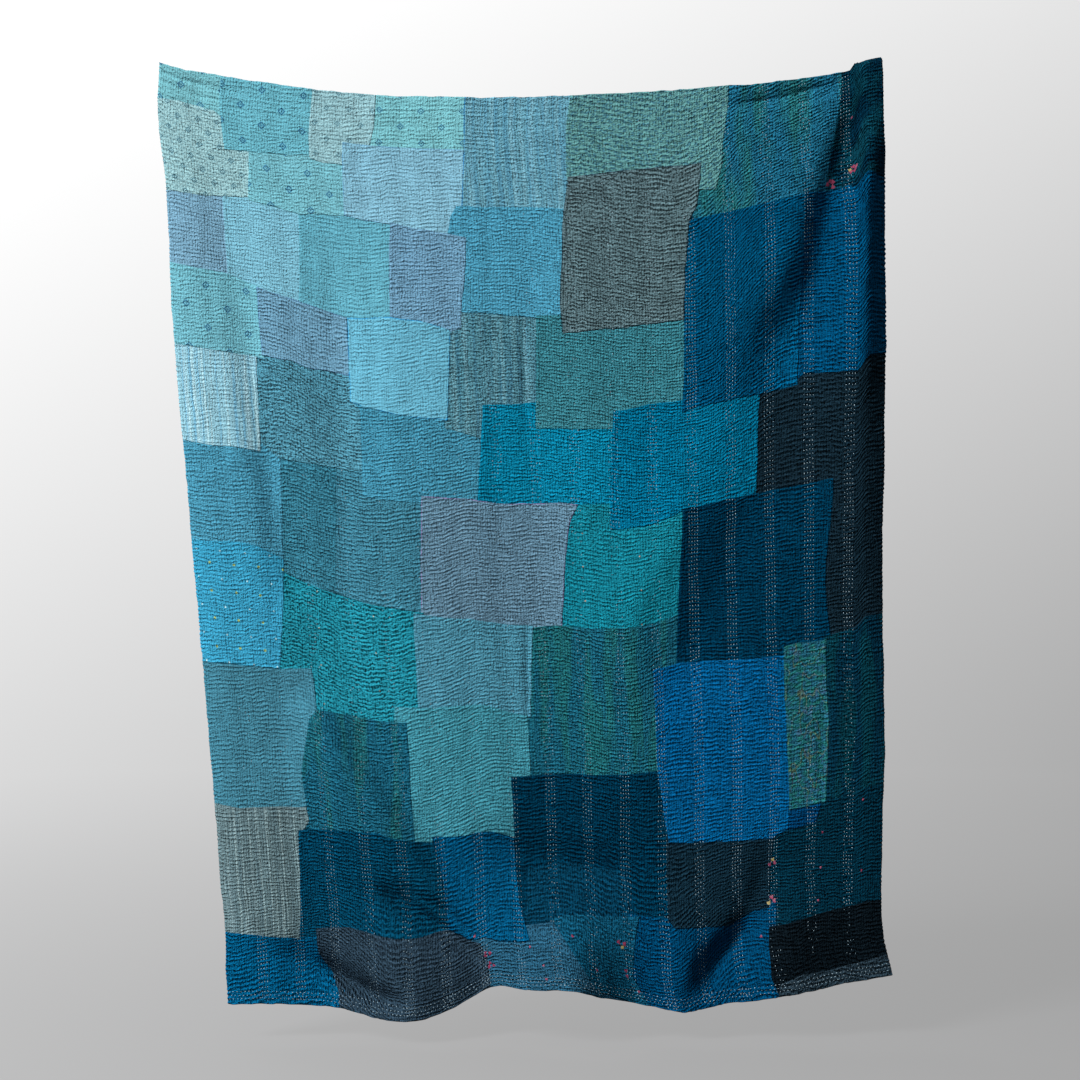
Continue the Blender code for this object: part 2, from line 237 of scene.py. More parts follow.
def fold(sections, along, other):
    # one soft hump about its curved middle; only the places near it are worked out
    run, middles, lows, highs, forwards = np.array(sections).T / 1000
    reach = foldReach * max(lows.max(), highs.max())
    pushed = np.zeros_like(along)
    near = (other > middles.min() - reach) & (other < middles.max() + reach)
    if forwards[0] == 0:
        near &= along > run[0]
    if forwards[-1] == 0:
        near &= along < run[-1]
    along, other = along[near], other[near]
    middle = smooth(run, middles, along)
    step = 0.01
    lean = (smooth(run, middles, along + step) - middle) / step
    away = (other - middle) / np.sqrt(1 + lean * lean)
    flank = np.where(away < 0, smooth(run, lows, along, True), smooth(run, highs, along, True))
    pushed[near] = smooth(run, forwards, along, True) * np.exp(-((away / flank) ** 2))
    return pushed


def forwardStand(x, z):
    total = np.zeros_like(x)
    for sections in downFolds.values():
        total += fold(sections, -z, x)
    for sections in acrossFolds.values():
        total += fold(sections, x, -z)
    return total


def edgesAt(u, v):
    strip = roll["strip"] * ease((u - roll["start"]) / roll["blend"])
    top = smooth(*topEdge.values(), u) + strip
    hem = smooth(*hemEdge.values(), u)
    left = smooth(*leftEdge.values(), v)
    right = smooth(*rightEdge.values(), v)
    return strip, top, hem, left, right


def hung(across, down):
    # where the front of the flat cloth's place is when it hangs
    u = across / cloth["width"]
    v = down / cloth["length"]
    strip, top, hem, left, right = edgesAt(u, v)
    x = left + (right - left) * u
    z = top + (hem - top) * v
    y = -forwardStand(x, z)
    width = smooth(edgeTurn["share"], edgeTurn["width"], v)
    back = smooth(edgeTurn["share"], edgeTurn["back"], v)
    y += back * np.clip(1 - (right - x) / width, 0, 1) ** edgeTurn["curve"]
    group = across / stitchGroups["pitch"]
    away = np.abs(group - np.round(group)) * stitchGroups["pitch"] / stitchGroups["width"]
    y += stitchGroups["trough"] * ease(1 - away)
    over = np.clip(strip - down, 0, None)
    angle = over / roll["radius"]
    z += roll["radius"] * np.sin(angle) - over
    y += roll["radius"] * (1 - np.cos(angle))
    return np.stack((x, y, z), axis=-1)


def flatPlace(x, drop):
    # the flat cloth's place that hangs at x across and drop below the origin, closed in on step by step
    u, v = x / 1.36 + 0.5, drop / 1.7
    for _ in range(12):
        _, top, hem, left, right = edgesAt(u, v)
        u = (x - left) / (right - left)
        v = (top + drop) / (top - hem)
    return float(u * cloth["width"]), float(v * cloth["length"])


# The running stitch: rows down the length, and the ripples that it draws up between the stitches.
quilting = {
    "rows": 274,  # 5.1 mm apart
    "steps": 868,  # four to a ripple
    "stitchPitch": 0.0082,
    "crossPitch": 0.0069,
    "rippleHeight": 0.0010,
    "firstHigh": 0.62, "secondHigh": 0.48,
    "topRows": (0.020, 0.032, 0.046, 0.060),
    "topGroove": 0.0008,
    "grooveWidth": 0.0026,
    "scallop": 0.8,
    "scallopReach": 0.010,
}
rowPitch = cloth["width"] / quilting["rows"]
stepDown = cloth["length"] / quilting["steps"]

# Where the cloth is dragged, its ripples slant: how far across and down, how wide and how tall the
# place is, and the slope (+ falls to the right).
drags = {
    "leftChest": (0.26, 0.58, 0.060, 0.26, 0.50),
    "rightValley": (1.10, 0.36, 0.090, 0.34, -1.10),
    "rightHand": (1.26, 0.06, 0.090, 0.28, -0.45),
    "leftHand": (0.06, 0.04, 0.080, 0.22, 0.35),
    "kneeRight": (0.92, 1.08, 0.060, 0.22, -0.45),
    "kneeLeft": (0.26, 1.18, 0.060, 0.24, 0.45),
    "lowerRidge": (0.46, 1.62, 0.070, 0.18, 0.30),
    "rightHem": (1.02, 1.68, 0.070, 0.16, -0.85),
    "leftHem": (0.28, 1.70, 0.060, 0.13, 1.00),
}
# How unevenly the ripples run. Lumps are given by how wide and how tall they are, and the number that
# they are drawn from.
uneven = {
    "outOfStep": (1.25, 0.80, (0.080, 0.070, 14)),  # radians from row to row, and how much that varies
    "jagged": (rowPitch, 0.016, 13),
    "first": ((3.0, 0.050, 0.150, 11), (2.1, 0.019, 0.045, 12)),  # radians, then the lumps
    "second": ((12.0, 0.075, 0.240, 15), (3.0, 0.016, 0.030, 16)),
    "secondLean": 1.2, "secondJagged": 0.8,
    "sizes": ((0.78, 0.22, (0.040, 0.030, 21)), (0.82, 0.18, (0.011, 0.009, 22))),
    "edge": ((0.0014, 0.052, 31), (0.0007, 0.016, 33)),  # hand-cut, hand-turned edges wander
}


def softNoise(across, down, wide, tall, seed):
    # smooth random lumps from -1 to 1, of the given width and height
    lumps = np.random.default_rng(seed).uniform(-1, 1, (512, 1024))
    i, j = across / wide + 40, down / tall + 40
    column, row = np.floor(i).astype(int), np.floor(j).astype(int)
    s, t = ease(i - column), ease(j - row)
    column, row = column % 511, row % 1023
    above = lumps[column, row] * (1 - s) + lumps[column + 1, row] * s
    below = lumps[column, row + 1] * (1 - s) + lumps[column + 1, row + 1] * s
    return above * (1 - t) + below * t


def ripplePhases(across, down):
    # two trains of ripples cross each other, so that they break up as they run
    lean = np.zeros_like(across)
    for placeAcross, placeDown, wide, tall, slope in drags.values():
        along, deep = (across - placeAcross) / wide, (down - placeDown) / tall
        lean += slope * wide * np.tanh(along) * np.exp(-((along / 4) ** 2) - deep ** 2)
    # each row of stitch is out of step with its neighbours, in some places more than in others
    least, more, lumps = uneven["outOfStep"]
    jagged = (least + more * softNoise(across, down, *lumps)) * softNoise(across, down, *uneven["jagged"])
    first = 2 * math.pi * (down - lean) / quilting["stitchPitch"] + jagged
    second = 2 * math.pi * (down - uneven["secondLean"] * lean) / quilting["crossPitch"]
    second += uneven["secondJagged"] * jagged
    for phase, train in ((first, "first"), (second, "second")):
        for much, *lumps in uneven[train]:
            phase += much * softNoise(across, down, *lumps)
    return first, second


def ripple(across, down):
    # from about -1 in the valley under a stitch to 1 on the ridge between two
    size = 1.0
    for least, more, lumps in uneven["sizes"]:
        size = size * (least + more * softNoise(across, down, *lumps))
    first, second = ripplePhases(across, down)
    return size * (quilting["firstHigh"] * np.cos(first) + quilting["secondHigh"] * np.cos(second))


def draped(across, down, lift):
    # places on the hanging cloth, lifted off its face and rippled by the stitching
    step = 0.0012
    place = hung(across, down)
    right = hung(across + step, down) - place
    below = hung(across, down + step) - place
    outward = np.cross(below, right)
    outward /= np.linalg.norm(outward, axis=-1, keepdims=True)
    rippled = quilting["rippleHeight"] * ripple(across, down)
    rise = lift + rippled
    for row in quilting["topRows"]:
        # rows of stitch along the top hem
        groove = np.exp(-(((down - row) / quilting["grooveWidth"]) ** 2)) * (1 + 0.5 * np.sign(rippled))
        rise -= quilting["topGroove"] * groove
    place += outward * rise[..., None]
    # the rim is scalloped by its ripples, and wanders
    reach = quilting["scallopReach"]
    for i, fromStart, fromEnd in ((0, across, cloth["width"] - across), (2, cloth["length"] - down, down)):
        near = np.exp(-fromEnd / reach) - np.exp(-fromStart / reach)
        place[..., i] += quilting["scallop"] * rippled * near
    for i, later in ((0, 0), (2, 1)):
        for much, lump, seed in uneven["edge"]:
            place[..., i] += much * softNoise(across, down, lump, lump, seed + later)
    return place


# The patches, lowest first. Each is given by its corners as they hang, clockwise: centimetres
# across from the middle, and down from the top edge's middle. A later patch lies over an earlier one.
patches = {
    "slateTeal": (
        (-46, 66.5), (-28, 69.5), (-17.5, 74), (-18, 97), (-24.5, 96), (-37.5, 92.5), (-46, 89.5),
    ),
    # a darker copy of the slate teal cloth over its left part: painted shade where the fold turns from the
    # light
    "slateTealPaintedShade": ((-46, 66.5), (-34.5, 68.5), (-34.5, 93), (-37.5, 92.5), (-46, 89.5)),
    "tealSlate": ((-50, 48), (-41.5, 48), (-31.5, 50.5), (-29, 57), (-29, 70.5), (-45, 68), (-50, 67.5)),
    "tealBlue": ((-64.5, 62.5), (-49.5, 64.5), (-45, 68), (-44.5, 88), (-64.5, 85)),
    "teal": ((-32, 56.5), (-13, 59), (-6, 63), (-7, 76.5), (-29.5, 75), (-30, 59)),
    "slateBlue": ((-69.5, 16.5), (-55.5, 18), (-54.5, 34), (-69.5, 32.5)),
    "lightBlue": ((-56, 18), (-40, 19.5), (-40.5, 39.5), (-49.5, 38), (-55, 36)),
    "aquaTeal": ((-41.5, 21), (-23.5, 22.5), (-23.5, 43), (-41.5, 40.5)),
    "aquaDiamond": ((-71.5, -10.5), (-55.5, -10.5), (-55.5, 4.5), (-71.5, 3)),
    "sageSpeckled": (
        (-71.5, 0.5), (-64, 0.5), (-57.5, 2.5), (-54, 5.5), (-50.5, 8), (-50.5, 19), (-60, 18.5),
        (-71.5, 17.5),
    ),
    "aquaDiamondLow": ((-51, 9), (-32, 10), (-32, 22.5), (-41.5, 22), (-51, 19.5)),
    "aquaDiamondTop": ((-56.5, -10.5), (-38, -10.5), (-38.5, 12), (-39.5, 11), (-55.5, 10)),
    "aquaGreen": ((-27.5, -10.5), (-9.5, -10.5), (-10, 12), (-29, 10.5)),
    "sagePlain": (
        (-38.5, -10.5), (-26.5, -10.5), (-27.5, 6), (-28, 9), (-33, 13), (-37, 12.5), (-39.5, 11.5),
    ),
    "steelBlue": ((-33.5, 8.5), (-24.5, 9.5), (-10.5, 10), (-10.5, 27), (-24.5, 24), (-33, 22.5)),
    "tealMottle": (
        (37, -10.5), (62, -10.5), (60.5, -1.5), (60, 18.5), (34, 24), (32.5, 22.5), (32.5, 15.5),
    ),
    "tealNavy": ((61, -14.5), (71.5, -14.5), (71.5, 16.5), (57.5, 18.5), (59, 8), (60.5, -1.5)),
    "midBlue": (
        (-10, -10.5), (11.5, -10.5), (10.5, 10), (9, 21.5), (-12, 21.5), (-11, 20.5), (-10.5, 10),
    ),
    "greyTeal": ((-14, 39.5), (4, 40.5), (4, 59), (-6.5, 64.5), (-14, 62.5)),
    "paleBlue": ((-69.5, 46), (-58.5, 47), (-49.5, 48.5), (-49, 66.5), (-69.5, 64.5)),
    "aquaFaint": ((-71.5, 31), (-55.5, 33), (-49, 35.5), (-48, 49), (-58.5, 47.5), (-71.5, 46.5)),
    "tealBlueUpper": ((-12, 20.5), (9, 21), (8.5, 42), (-13, 40.5), (-13.5, 26), (-13, 22.5)),
    "slateMauve": ((-24.5, 23.5), (-10, 26.5), (-11, 43.5), (-13.5, 44.5), (-19, 44), (-24.5, 42.5)),
    "slateMauveLow": ((-49.5, 35.5), (-32.5, 41.5), (-32, 52.5), (-39.5, 51), (-43, 49.5), (-48.5, 48.5)),
    "cyanBright": (
        (-32.5, 41.5), (-24.5, 41.5), (-19, 42), (-13, 44), (-13.5, 61), (-26.5, 59), (-32, 57.5),
    ),
    "tealBright": ((-7, 58), (18.5, 57.5), (18, 78.5), (11, 78.5), (2, 78), (-8, 77)),
    "greenTeal": ((3, 41), (32.5, 40), (32.5, 60.5), (18, 62.5), (3, 62.5)),
    "greenSpeckled": ((10.5, -10.5), (40, -10.5), (39, 2.5), (38, 12), (37, 17.5), (9, 18), (8.5, 10)),
    "blackNavyRight": ((44, 53), (71.5, 44), (71.5, 98), (58.5, 101.5), (43.5, 76)),
    "greenDots": (
        (8.5, 76.5), (17, 76.5), (19, 76), (32, 76), (30.5, 98), (22.5, 99.5), (15, 100.5), (7.5, 100.5),
    ),
    "blueTealBright": (
        (17.5, 59), (26.5, 57.5), (45.5, 54.5), (44.5, 75), (30.5, 78), (24.5, 80.5), (17, 81.5),
    ),
    "mauveGrey": (
        (-18.5, 75), (-7.5, 76), (2, 76.5), (11, 76.5), (9.5, 79.5), (8.5, 89), (8, 100), (2.5, 101),
        (1, 100.5), (-7.5, 100), (-18.5, 99),
    ),
    "greenMottle": (
        (1.5, 100), (15, 100), (22.5, 99.5), (30.5, 97), (30.5, 109.5), (26.5, 127.5), (2, 128.5),
        (0.5, 114.5),
    ),
    "strongBlueRight": (
        (53.5, 18), (62, 16.5), (69, 15), (71.5, 14.5), (71.5, 48.5), (54, 52), (52.5, 53),
    ),
    "strongBlue": (
        (30, 23), (32, 23), (41.5, 21), (54, 18), (53, 42), (52.5, 54), (37.5, 57.5), (30.5, 59),
        (31, 42.5), (30, 41),
    ),
    "warmGrey": (
        (9, 15), (22.5, 13.5), (27.5, 13), (34, 12.5), (33.5, 20.5), (32, 23), (31, 32.5), (31, 42),
        (22.5, 43), (8, 44.5), (7.5, 36.5), (8, 23),
    ),
    "navyTeal": (
        (30.5, 77.5), (44.5, 74.5), (59, 71.5), (58.5, 79.5), (57.5, 87), (57.5, 91.5), (58.5, 103),
        (50, 106), (29.5, 107.5),
    ),
    "tealGreen": (
        (-45.5, 89), (-37.5, 92.5), (-24.5, 96), (-18, 97), (-18.5, 118.5), (-38.5, 117.5), (-46, 109),
    ),
    "lightSteelTeal": ((-20, 97), (-7.5, 98.5), (2.5, 99.5), (2, 117), (-19, 115)),
    "lightTeal": (
        (-23.5, 114.5), (-15, 114.5), (1.5, 116.5), (2, 123), (2, 129), (0, 140), (-19.5, 140.5),
        (-23.5, 117.5),
    ),
    "slateTealLow": ((-66, 106), (-45, 107.5), (-39, 107.5), (-38, 114.5), (-39, 136), (-66, 134)),
    "brightBlue": (
        (-67.5, 83.5), (-54.5, 83.5), (-49, 84.5), (-44.5, 87), (-44.5, 94.5), (-45, 107.5),
        (-67.5, 106),
    ),
    "darkGreenMottle": (
        (-39.5, 117), (-38, 115), (-33, 116), (-21, 117.5), (-20.5, 130.5), (-19.5, 140.5),
        (-41.5, 140.5), (-41.5, 134.5), (-40, 133.5), (-41, 126.5),
    ),
    "navyHalf": ((-1.5, 128), (7.5, 127.5), (26.5, 126.5), (28.5, 140), (28.5, 157), (0, 157)),
    "navyHalfLow": ((1.5, 145.5), (20, 145.8), (21, 157), (1, 157)),
    "greyGreen": (
        (-64, 132), (-52.5, 133.5), (-40, 133.5), (-39.5, 136), (-40.5, 138), (-40.5, 159.5),
        (-64, 156.5),
    ),
    "darkTealGreen": ((57, 101.5), (62, 100), (71.5, 97), (71.5, 130.5), (56.5, 133.5)),
    "darkTealDots": ((46, 138), (57, 132), (71.5, 129), (71.5, 152), (58.5, 153), (46.5, 157.5)),
    "cobaltBit": ((49.5, 132), (57, 131.5), (55.5, 136.5), (49.5, 138)),
    "brightBlueHem": (
        (20.5, 153.5), (48.5, 151), (48.5, 165), (50.5, 177.5), (25, 177.5), (22.5, 169), (20.5, 165.5),
        (20, 159.5),
    ),
    "blackNavyLow": (
        (27.5, 139), (48, 138), (47, 152.5), (44.5, 153), (42, 154.5), (39.5, 156), (31.5, 156),
        (29, 156), (28, 154.5),
    ),
    "cobalt": (
        (25, 107.5), (30, 106.5), (37.5, 106), (50.5, 105), (51, 132), (50.5, 137.5), (47.5, 139.5),
        (40.5, 140), (28, 140), (26, 128.5),
    ),
    "greenGoldLilac": (
        (49.5, 103.5), (52.5, 102.5), (57.5, 102), (58, 117), (57.5, 132.5), (50.5, 134), (50, 117),
    ),
    "petrol": (
        (-41.5, 138), (-39.5, 137.5), (-26.5, 138), (-16, 140), (-14.5, 148), (-13, 158), (-41.5, 159),
    ),
    "blueHem": ((-64, 156), (-41.5, 158.5), (-35.5, 157.5), (-31, 177.5), (-64, 177.5)),
    "steelHem": (
        (-9.5, 157.5), (3, 155), (6, 154.5), (22.5, 154.5), (21, 165), (26.5, 177.5), (-9.5, 177.5),
    ),
    # a darker copy of the steel hem's cloth over its right part: painted shade where its fold turns from the
    # light
    "steelHemPaintedShade": (
        (5.8, 154), (22.6, 154), (21.2, 165), (24.5, 171), (18.5, 169), (14.5, 166.8), (10.5, 160.5),
    ),
    # the dark line along this patch's edge is a painted shadow under its turned edge
    "blueDarkEdge": (
        (-16.5, 139), (-1, 139.5), (-0.5, 145.5), (0, 151), (2, 158), (-4, 158.5), (-9.5, 158.5),
        (-13.5, 157), (-14.5, 148),
    ),
    "charcoalMauve": (
        (-38.5, 156.5), (-32, 156), (-13.5, 157), (-7.5, 159), (-6, 162), (-5.5, 177.5), (-34, 177.5),
        (-34, 169), (-35.5, 165.5), (-38, 161.5),
    ),
    "nearBlack": (
        (47, 156), (52.5, 154.5), (61.5, 152), (71.5, 151), (71.5, 177.5), (50.5, 177.5), (47, 165.5),
    ),
    "slateHem": (
        (48.5, 166.5), (53, 164.5), (58.5, 164), (64, 162.5), (71.5, 161), (71.5, 177.5), (50, 177.5),
        (48, 170),
    ),
}
layer = {
    "thickness": 0.00042,
    "slope": 0.005,  # how far the cloth takes to come down off an edge that it covers
    "rim": 0.0012,  # the strip of faces that rounds a patch's edge
    "rimDrop": 0.9,  # how much of its thickness the edge comes down
    "turned": 0.0015,  # how deep the quilt's own edge is turned in
    "reach": 0.008,  # how near a cutting line its faces lie
    "close": 0.0002,  # counts as on the quilt's own edge
}


def ringDistance(across, down, corners):
    # how far each place is inside the outline (+) or outside it (-)
    nearest = np.full(across.shape, 1e9)
    inside = np.zeros(across.shape, bool)
    for (a0, d0), (a1, d1) in zip(corners, corners[1:] + corners[:1]):
        da, dd = a1 - a0, d1 - d0
        t = np.clip(((across - a0) * da + (down - d0) * dd) / (da * da + dd * dd), 0, 1)
        nearest = np.minimum(nearest, np.hypot(across - a0 - t * da, down - d0 - t * dd))
        if d0 != d1:
            crosses = (d0 > down) != (d1 > down)
            inside ^= crosses & (across < a0 + (down - d0) * da / dd)
    return np.where(inside, nearest, -nearest)


flatOutlines = {
    name: [flatPlace(x / 100, drop / 100) for x, drop in corners] for name, corners in patches.items()
}


def layersUnder(across, down, name=None):
    # how many layers lie under this patch at each place; with no name, how many lie there in all, and
    # the number of the patch on top
    under = np.zeros_like(across)
    covered = np.zeros_like(across)
    onTop = np.full(across.shape, -1)
    for number, (other, corners) in enumerate(flatOutlines.items()):
        if other == name:
            return under
        lows = np.min(corners, axis=0) - layer["slope"]
        highs = np.max(corners, axis=0) + layer["slope"]
        near = (across > lows[0]) & (across < highs[0]) & (down > lows[1]) & (down < highs[1])
        if near.any():
            inner = ringDistance(across[near], down[near], corners)
            covered[near] = np.where(inner > 0, under[near] + 1, covered[near])
            onTop[near] = np.where(inner > 0, number, onTop[near])
            under[near] += ease(1 + inner / layer["slope"])
    return covered, onTop


def addFlat(name, columns, rows, size, middle):
    # a flat grid of cloth, left in edit mode
    bpy.ops.object.select_all(action="DESELECT")
    bpy.ops.mesh.primitive_grid_add(x_subdivisions=columns, y_subdivisions=rows, size=1)
    piece = bpy.context.object
    piece.name = piece.data.name = name
    bpy.ops.object.mode_set(mode="EDIT")
    bpy.ops.transform.resize(value=(*size, 1))
    bpy.ops.transform.translate(value=(middle[0], -middle[1], 0))
    return piece


def cutAlong(mesh, start, end, inset):
    # bisects the faces close to one side of an outline, this far inside it
    along = end - start
    length = along.length
    inward = along.cross(Vector((0, 0, 1))).normalized()
    along.normalize()
    found = False
    for face in mesh.faces:
        to = face.calc_center_median() - start
        near = -layer["reach"] < to.dot(along) < length + layer["reach"]
        near = near and abs(to.cross(along).length) < layer["reach"]
        face.select_set(near)
        found |= near
    if found:
        bpy.ops.mesh.bisect(plane_co=start + inward * inset, plane_no=inward)


def cutRound(mesh, corners, insets):
    # cuts along every side of an outline on the flat cloth
    ends = [Vector((across, -down, 0)) for across, down in corners]
    for start, end in zip(ends, ends[1:] + ends[:1]):
        for inset in insets:
            cutAlong(mesh, start, end, inset)


def cutFlat(name):
    # the patch's cloth on the shared lattice of stitch rows, cut to its outline while it is flat
    corners = flatOutlines[name]
    pitch = np.array((rowPitch, stepDown))
    most = quilting["rows"], quilting["steps"]
    first = np.floor(np.min(corners, axis=0) / pitch).astype(int).clip(0)
    last = np.ceil(np.max(corners, axis=0) / pitch).astype(int).clip(None, most)
    count = last - first
    patch = addFlat("patch_" + name, *count.tolist(), count * pitch, (first + last) / 2 * pitch)
    mesh = bmesh.from_edit_mesh(patch.data)
    cutRound(mesh, corners, (0, layer["rim"]))
    faces = list(mesh.faces)
    centres = np.array([face.calc_center_median() for face in faces])
    for face, inner in zip(faces, ringDistance(centres[:, 0], -centres[:, 1], corners)):
        face.select_set(bool(inner < 0))
    bmesh.update_edit_mesh(patch.data)
    bpy.ops.mesh.delete(type="FACE")
    wide, long = cloth["width"], cloth["length"]
    cutRound(mesh, ((0, 0), (wide, 0), (wide, long), (0, long)), (layer["rim"],))
    for face in mesh.faces:
        face.select_set(len(face.verts) > 4)
    bmesh.update_edit_mesh(patch.data)
    bpy.ops.mesh.quads_convert_to_tris()
    bpy.ops.object.mode_set(mode="OBJECT")
    return patch


def flatCoordinates(piece):
    # keeps the flat place of each corner as the piece's UV map, in metres
    flat = np.empty(len(piece.data.vertices) * 3)
    piece.data.vertices.foreach_get("co", flat)
    flat = flat.reshape(-1, 3)
    corner = np.empty(len(piece.data.loops), int)
    piece.data.loops.foreach_get("vertex_index", corner)
    while piece.data.uv_layers:
        piece.data.uv_layers.remove(piece.data.uv_layers[0])
    piece.data.uv_layers.new(name="flatCloth").uv.foreach_set("vector", flat[corner, :2].ravel())
    return flat[:, 0], -flat[:, 1]


def openEdges(piece):
    # which vertices are on the mesh's open edge
    mesh = bmesh.new()
    mesh.from_mesh(piece.data)
    edge = np.array([vertex.is_boundary for vertex in mesh.verts])
    mesh.free()
    return edge


def hangUp(piece, places, phases, edge):
    # moves the flat cloth to its hanging place, and keeps its ripples and edge for the material
    piece.data.vertices.foreach_set("co", places.ravel())
    for name, values in (("firstPhase", phases[0]), ("secondPhase", phases[1]), ("fromEdge", edge)):
        piece.data.attributes.new(name, "FLOAT", "POINT").data.foreach_set("value", values)
    piece.data.shade_smooth()
    piece.data.update()
    return piece


def fromSides(across, down):
    # how far each place is from the nearest edge of the quilt
    aside = np.minimum(across, cloth["width"] - across)
    return np.minimum(aside, np.minimum(down, cloth["length"] - down))


def makePatch(name):
    patch = cutFlat(name)
    across, down = flatCoordinates(patch)
    lift = layer["thickness"] * (1 + layersUnder(across, down, name))
    rim = openEdges(patch)
    lift = np.where(rim, lift - layer["rimDrop"] * layer["thickness"], lift)
    lift = np.where(rim & (fromSides(across, down) < layer["close"]), -layer["turned"], lift)
    edge = ringDistance(across, down, flatOutlines[name])
    return hangUp(patch, draped(across, down, lift), ripplePhases(across, down), edge)


# The plain back of the quilt, which its patches are stitched to, turned in to meet them at the edges.
backing = {"columns": 137, "rows": 640, "colour": "1f6a86"}


def makeBacking():
    size = np.array((cloth["width"], cloth["length"]))
    piece = addFlat("quilt_back", backing["columns"], backing["rows"], size, size / 2)
    bpy.ops.mesh.flip_normals()
    bpy.ops.object.mode_set(mode="OBJECT")
    across, down = flatCoordinates(piece)
    lift = np.where(openEdges(piece), -layer["turned"], -cloth["thickness"])
    phases = [phase + math.pi for phase in ripplePhases(across, down)]
    return hangUp(piece, draped(across, down, lift), phases, fromSides(across, down))


def fromPoints(name, places, faces):
    # a piece from its corners and faces
    mesh = bpy.data.meshes.new(name)
    mesh.from_pydata(places, [], faces)
    mesh.shade_smooth()
    piece = bpy.data.objects.new(name, mesh)
    bpy.context.scene.collection.objects.link(piece)
    return piece


# Off-white thread: rows of running stitch in groups down the quilt, and along its hem. The thread is
# 0.6 mm thick, and is drawn at 1.1 mm so that it shows.
thread = {
    "length": 0.0024, "width": 0.0011, "height": 0.00060, "raised": 0.00020,
    "taper": 0.6,  # how far along its half length a stitch keeps its width
    "sizes": (0.75, 1.2),
    "shorter": 0.25,  # how much of a stitch's length drop is kept, so that it lies in its valley
    "groupRows": (-0.0084, -0.0028, 0.0028, 0.0084),
    "hemRows": (0.011, 0.017, 0.024),
    "endsFromTop": 0.004, "endsFromSide": 0.006,
    "search": 0.0004,  # how closely the valleys are looked for
}


def threadPieces(name, across, down, turned):
    # one small rounded stitch, modelled once and set at every place; turned ones run across
    half, side = thread["length"] / 2, thread["width"] / 2
    taper = half * thread["taper"]
    ring = [(-side, 0.0), (0.0, thread["height"]), (side, 0.0)]
    middle = [(w, along, h) for along in (-taper, taper) for w, h in ring]
    shape = np.array([(0.0, -half, 0.0), *middle, (0.0, half, 0.0)])
    faces = [(0, 2, 1), (0, 3, 2), (1, 2, 5, 4), (2, 3, 6, 5), (4, 5, 7), (5, 6, 7)]
    if turned:
        shape = shape[:, [1, 0, 2]] * np.array((1, -1, 1))
    lift = layer["thickness"] * layersUnder(across, down)[0] + thread["raised"]
    size = np.random.default_rng(41).uniform(*thread["sizes"], len(across))
    places = []
    for aside, along, high in shape:
        valley = draped(across, down, lift + high)
        moved = draped(across + aside * size, down - along * size, lift + high)
        places.append(valley + (moved - valley) * np.array((1, thread["shorter"], 1)))
    places = np.stack(places, axis=1).reshape(-1, 3)
    count = len(shape)
    solid = [tuple(i * count + corner for corner in face) for i in range(len(across)) for face in faces]
    return fromPoints(name, places.tolist(), solid)


def makeThreadRows():
    # each stitch of a row lies in a valley of the ripples
    run = np.arange(thread["endsFromTop"], cloth["length"] - thread["endsFromTop"], thread["search"])
    places = []
    groups = int((cloth["width"] - 0.012) / stitchGroups["pitch"])
    for group in range(1, groups + 1):
        for aside in thread["groupRows"]:
            across = group * stitchGroups["pitch"] + aside
            turns = np.floor((ripplePhases(np.full_like(run, across), run)[0] - math.pi) / (2 * math.pi))
            valleys = run[1:][np.diff(turns) > 0]
            places.append((np.full_like(valleys, across), valleys))
    across, down = np.concatenate(places, axis=1)
    # on most light patches the thread is of the cloth's own colour, and is not seen
    whites = np.array([cottons[name].get("white", 0.0) for name in patches] + [0.0])
    seen = np.random.default_rng(42).uniform(0, 1, len(across)) < whites[layersUnder(across, down)[1]]
    return threadPieces("thread_rows", across[seen], down[seen], False)


def makeHemRows():
    run = np.arange(thread["endsFromSide"], cloth["width"] - thread["endsFromSide"], quilting["stitchPitch"])
    across = [run + (i % 2) * quilting["stitchPitch"] / 2 for i in range(len(thread["hemRows"]))]
    down = np.repeat(cloth["length"] - np.array(thread["hemRows"]), len(run))
    return threadPieces("thread_hem", np.concatenate(across), down, True)


# Flowers and dots worked in silk thread: across, drop below the origin, size, and the petals' colours.
flowers = (
    (0.626, 0.038, 0.0022, "r"), (0.628, 0.135, 0.0055, "rrrrg"), (0.588, 0.160, 0.0075, "rrrr"),
    (0.476, 1.440, 0.0065, "rrg"), (0.474, 1.512, 0.0070, "rgr"), (0.455, 1.578, 0.0026, "r"),
    (-0.086, 1.577, 0.0030, "r"), (-0.060, 1.610, 0.0065, "rrr"), (-0.053, 1.631, 0.0060, "rrr"),
    (0.019, 1.589, 0.0024, "r"), (0.045, 1.621, 0.0024, "r"), (0.051, 1.645, 0.0024, "r"),
    (0.098, 1.570, 0.0030, "r"), (0.145, 1.634, 0.0026, "r"), (0.190, 1.590, 0.0075, "grr"),
    (0.201, 1.645, 0.0055, "rr"), (0.224, 1.680, 0.0028, "r"),
    (0.568, 1.382, 0.0024, "r"), (0.566, 1.448, 0.0024, "r"), (0.641, 1.453, 0.0024, "r"),
    (0.560, 1.510, 0.0024, "r"), (0.645, 1.320, 0.0024, "r"),
)
petal = {"sides": 7, "height": 0.0009, "apart": 0.9, "size": 0.60, "uneven": 0.35, "turn": 2.4}
silks = {"flowers_red": ("r", "7f1d42"), "flowers_gold": ("g", "8f7f45")}


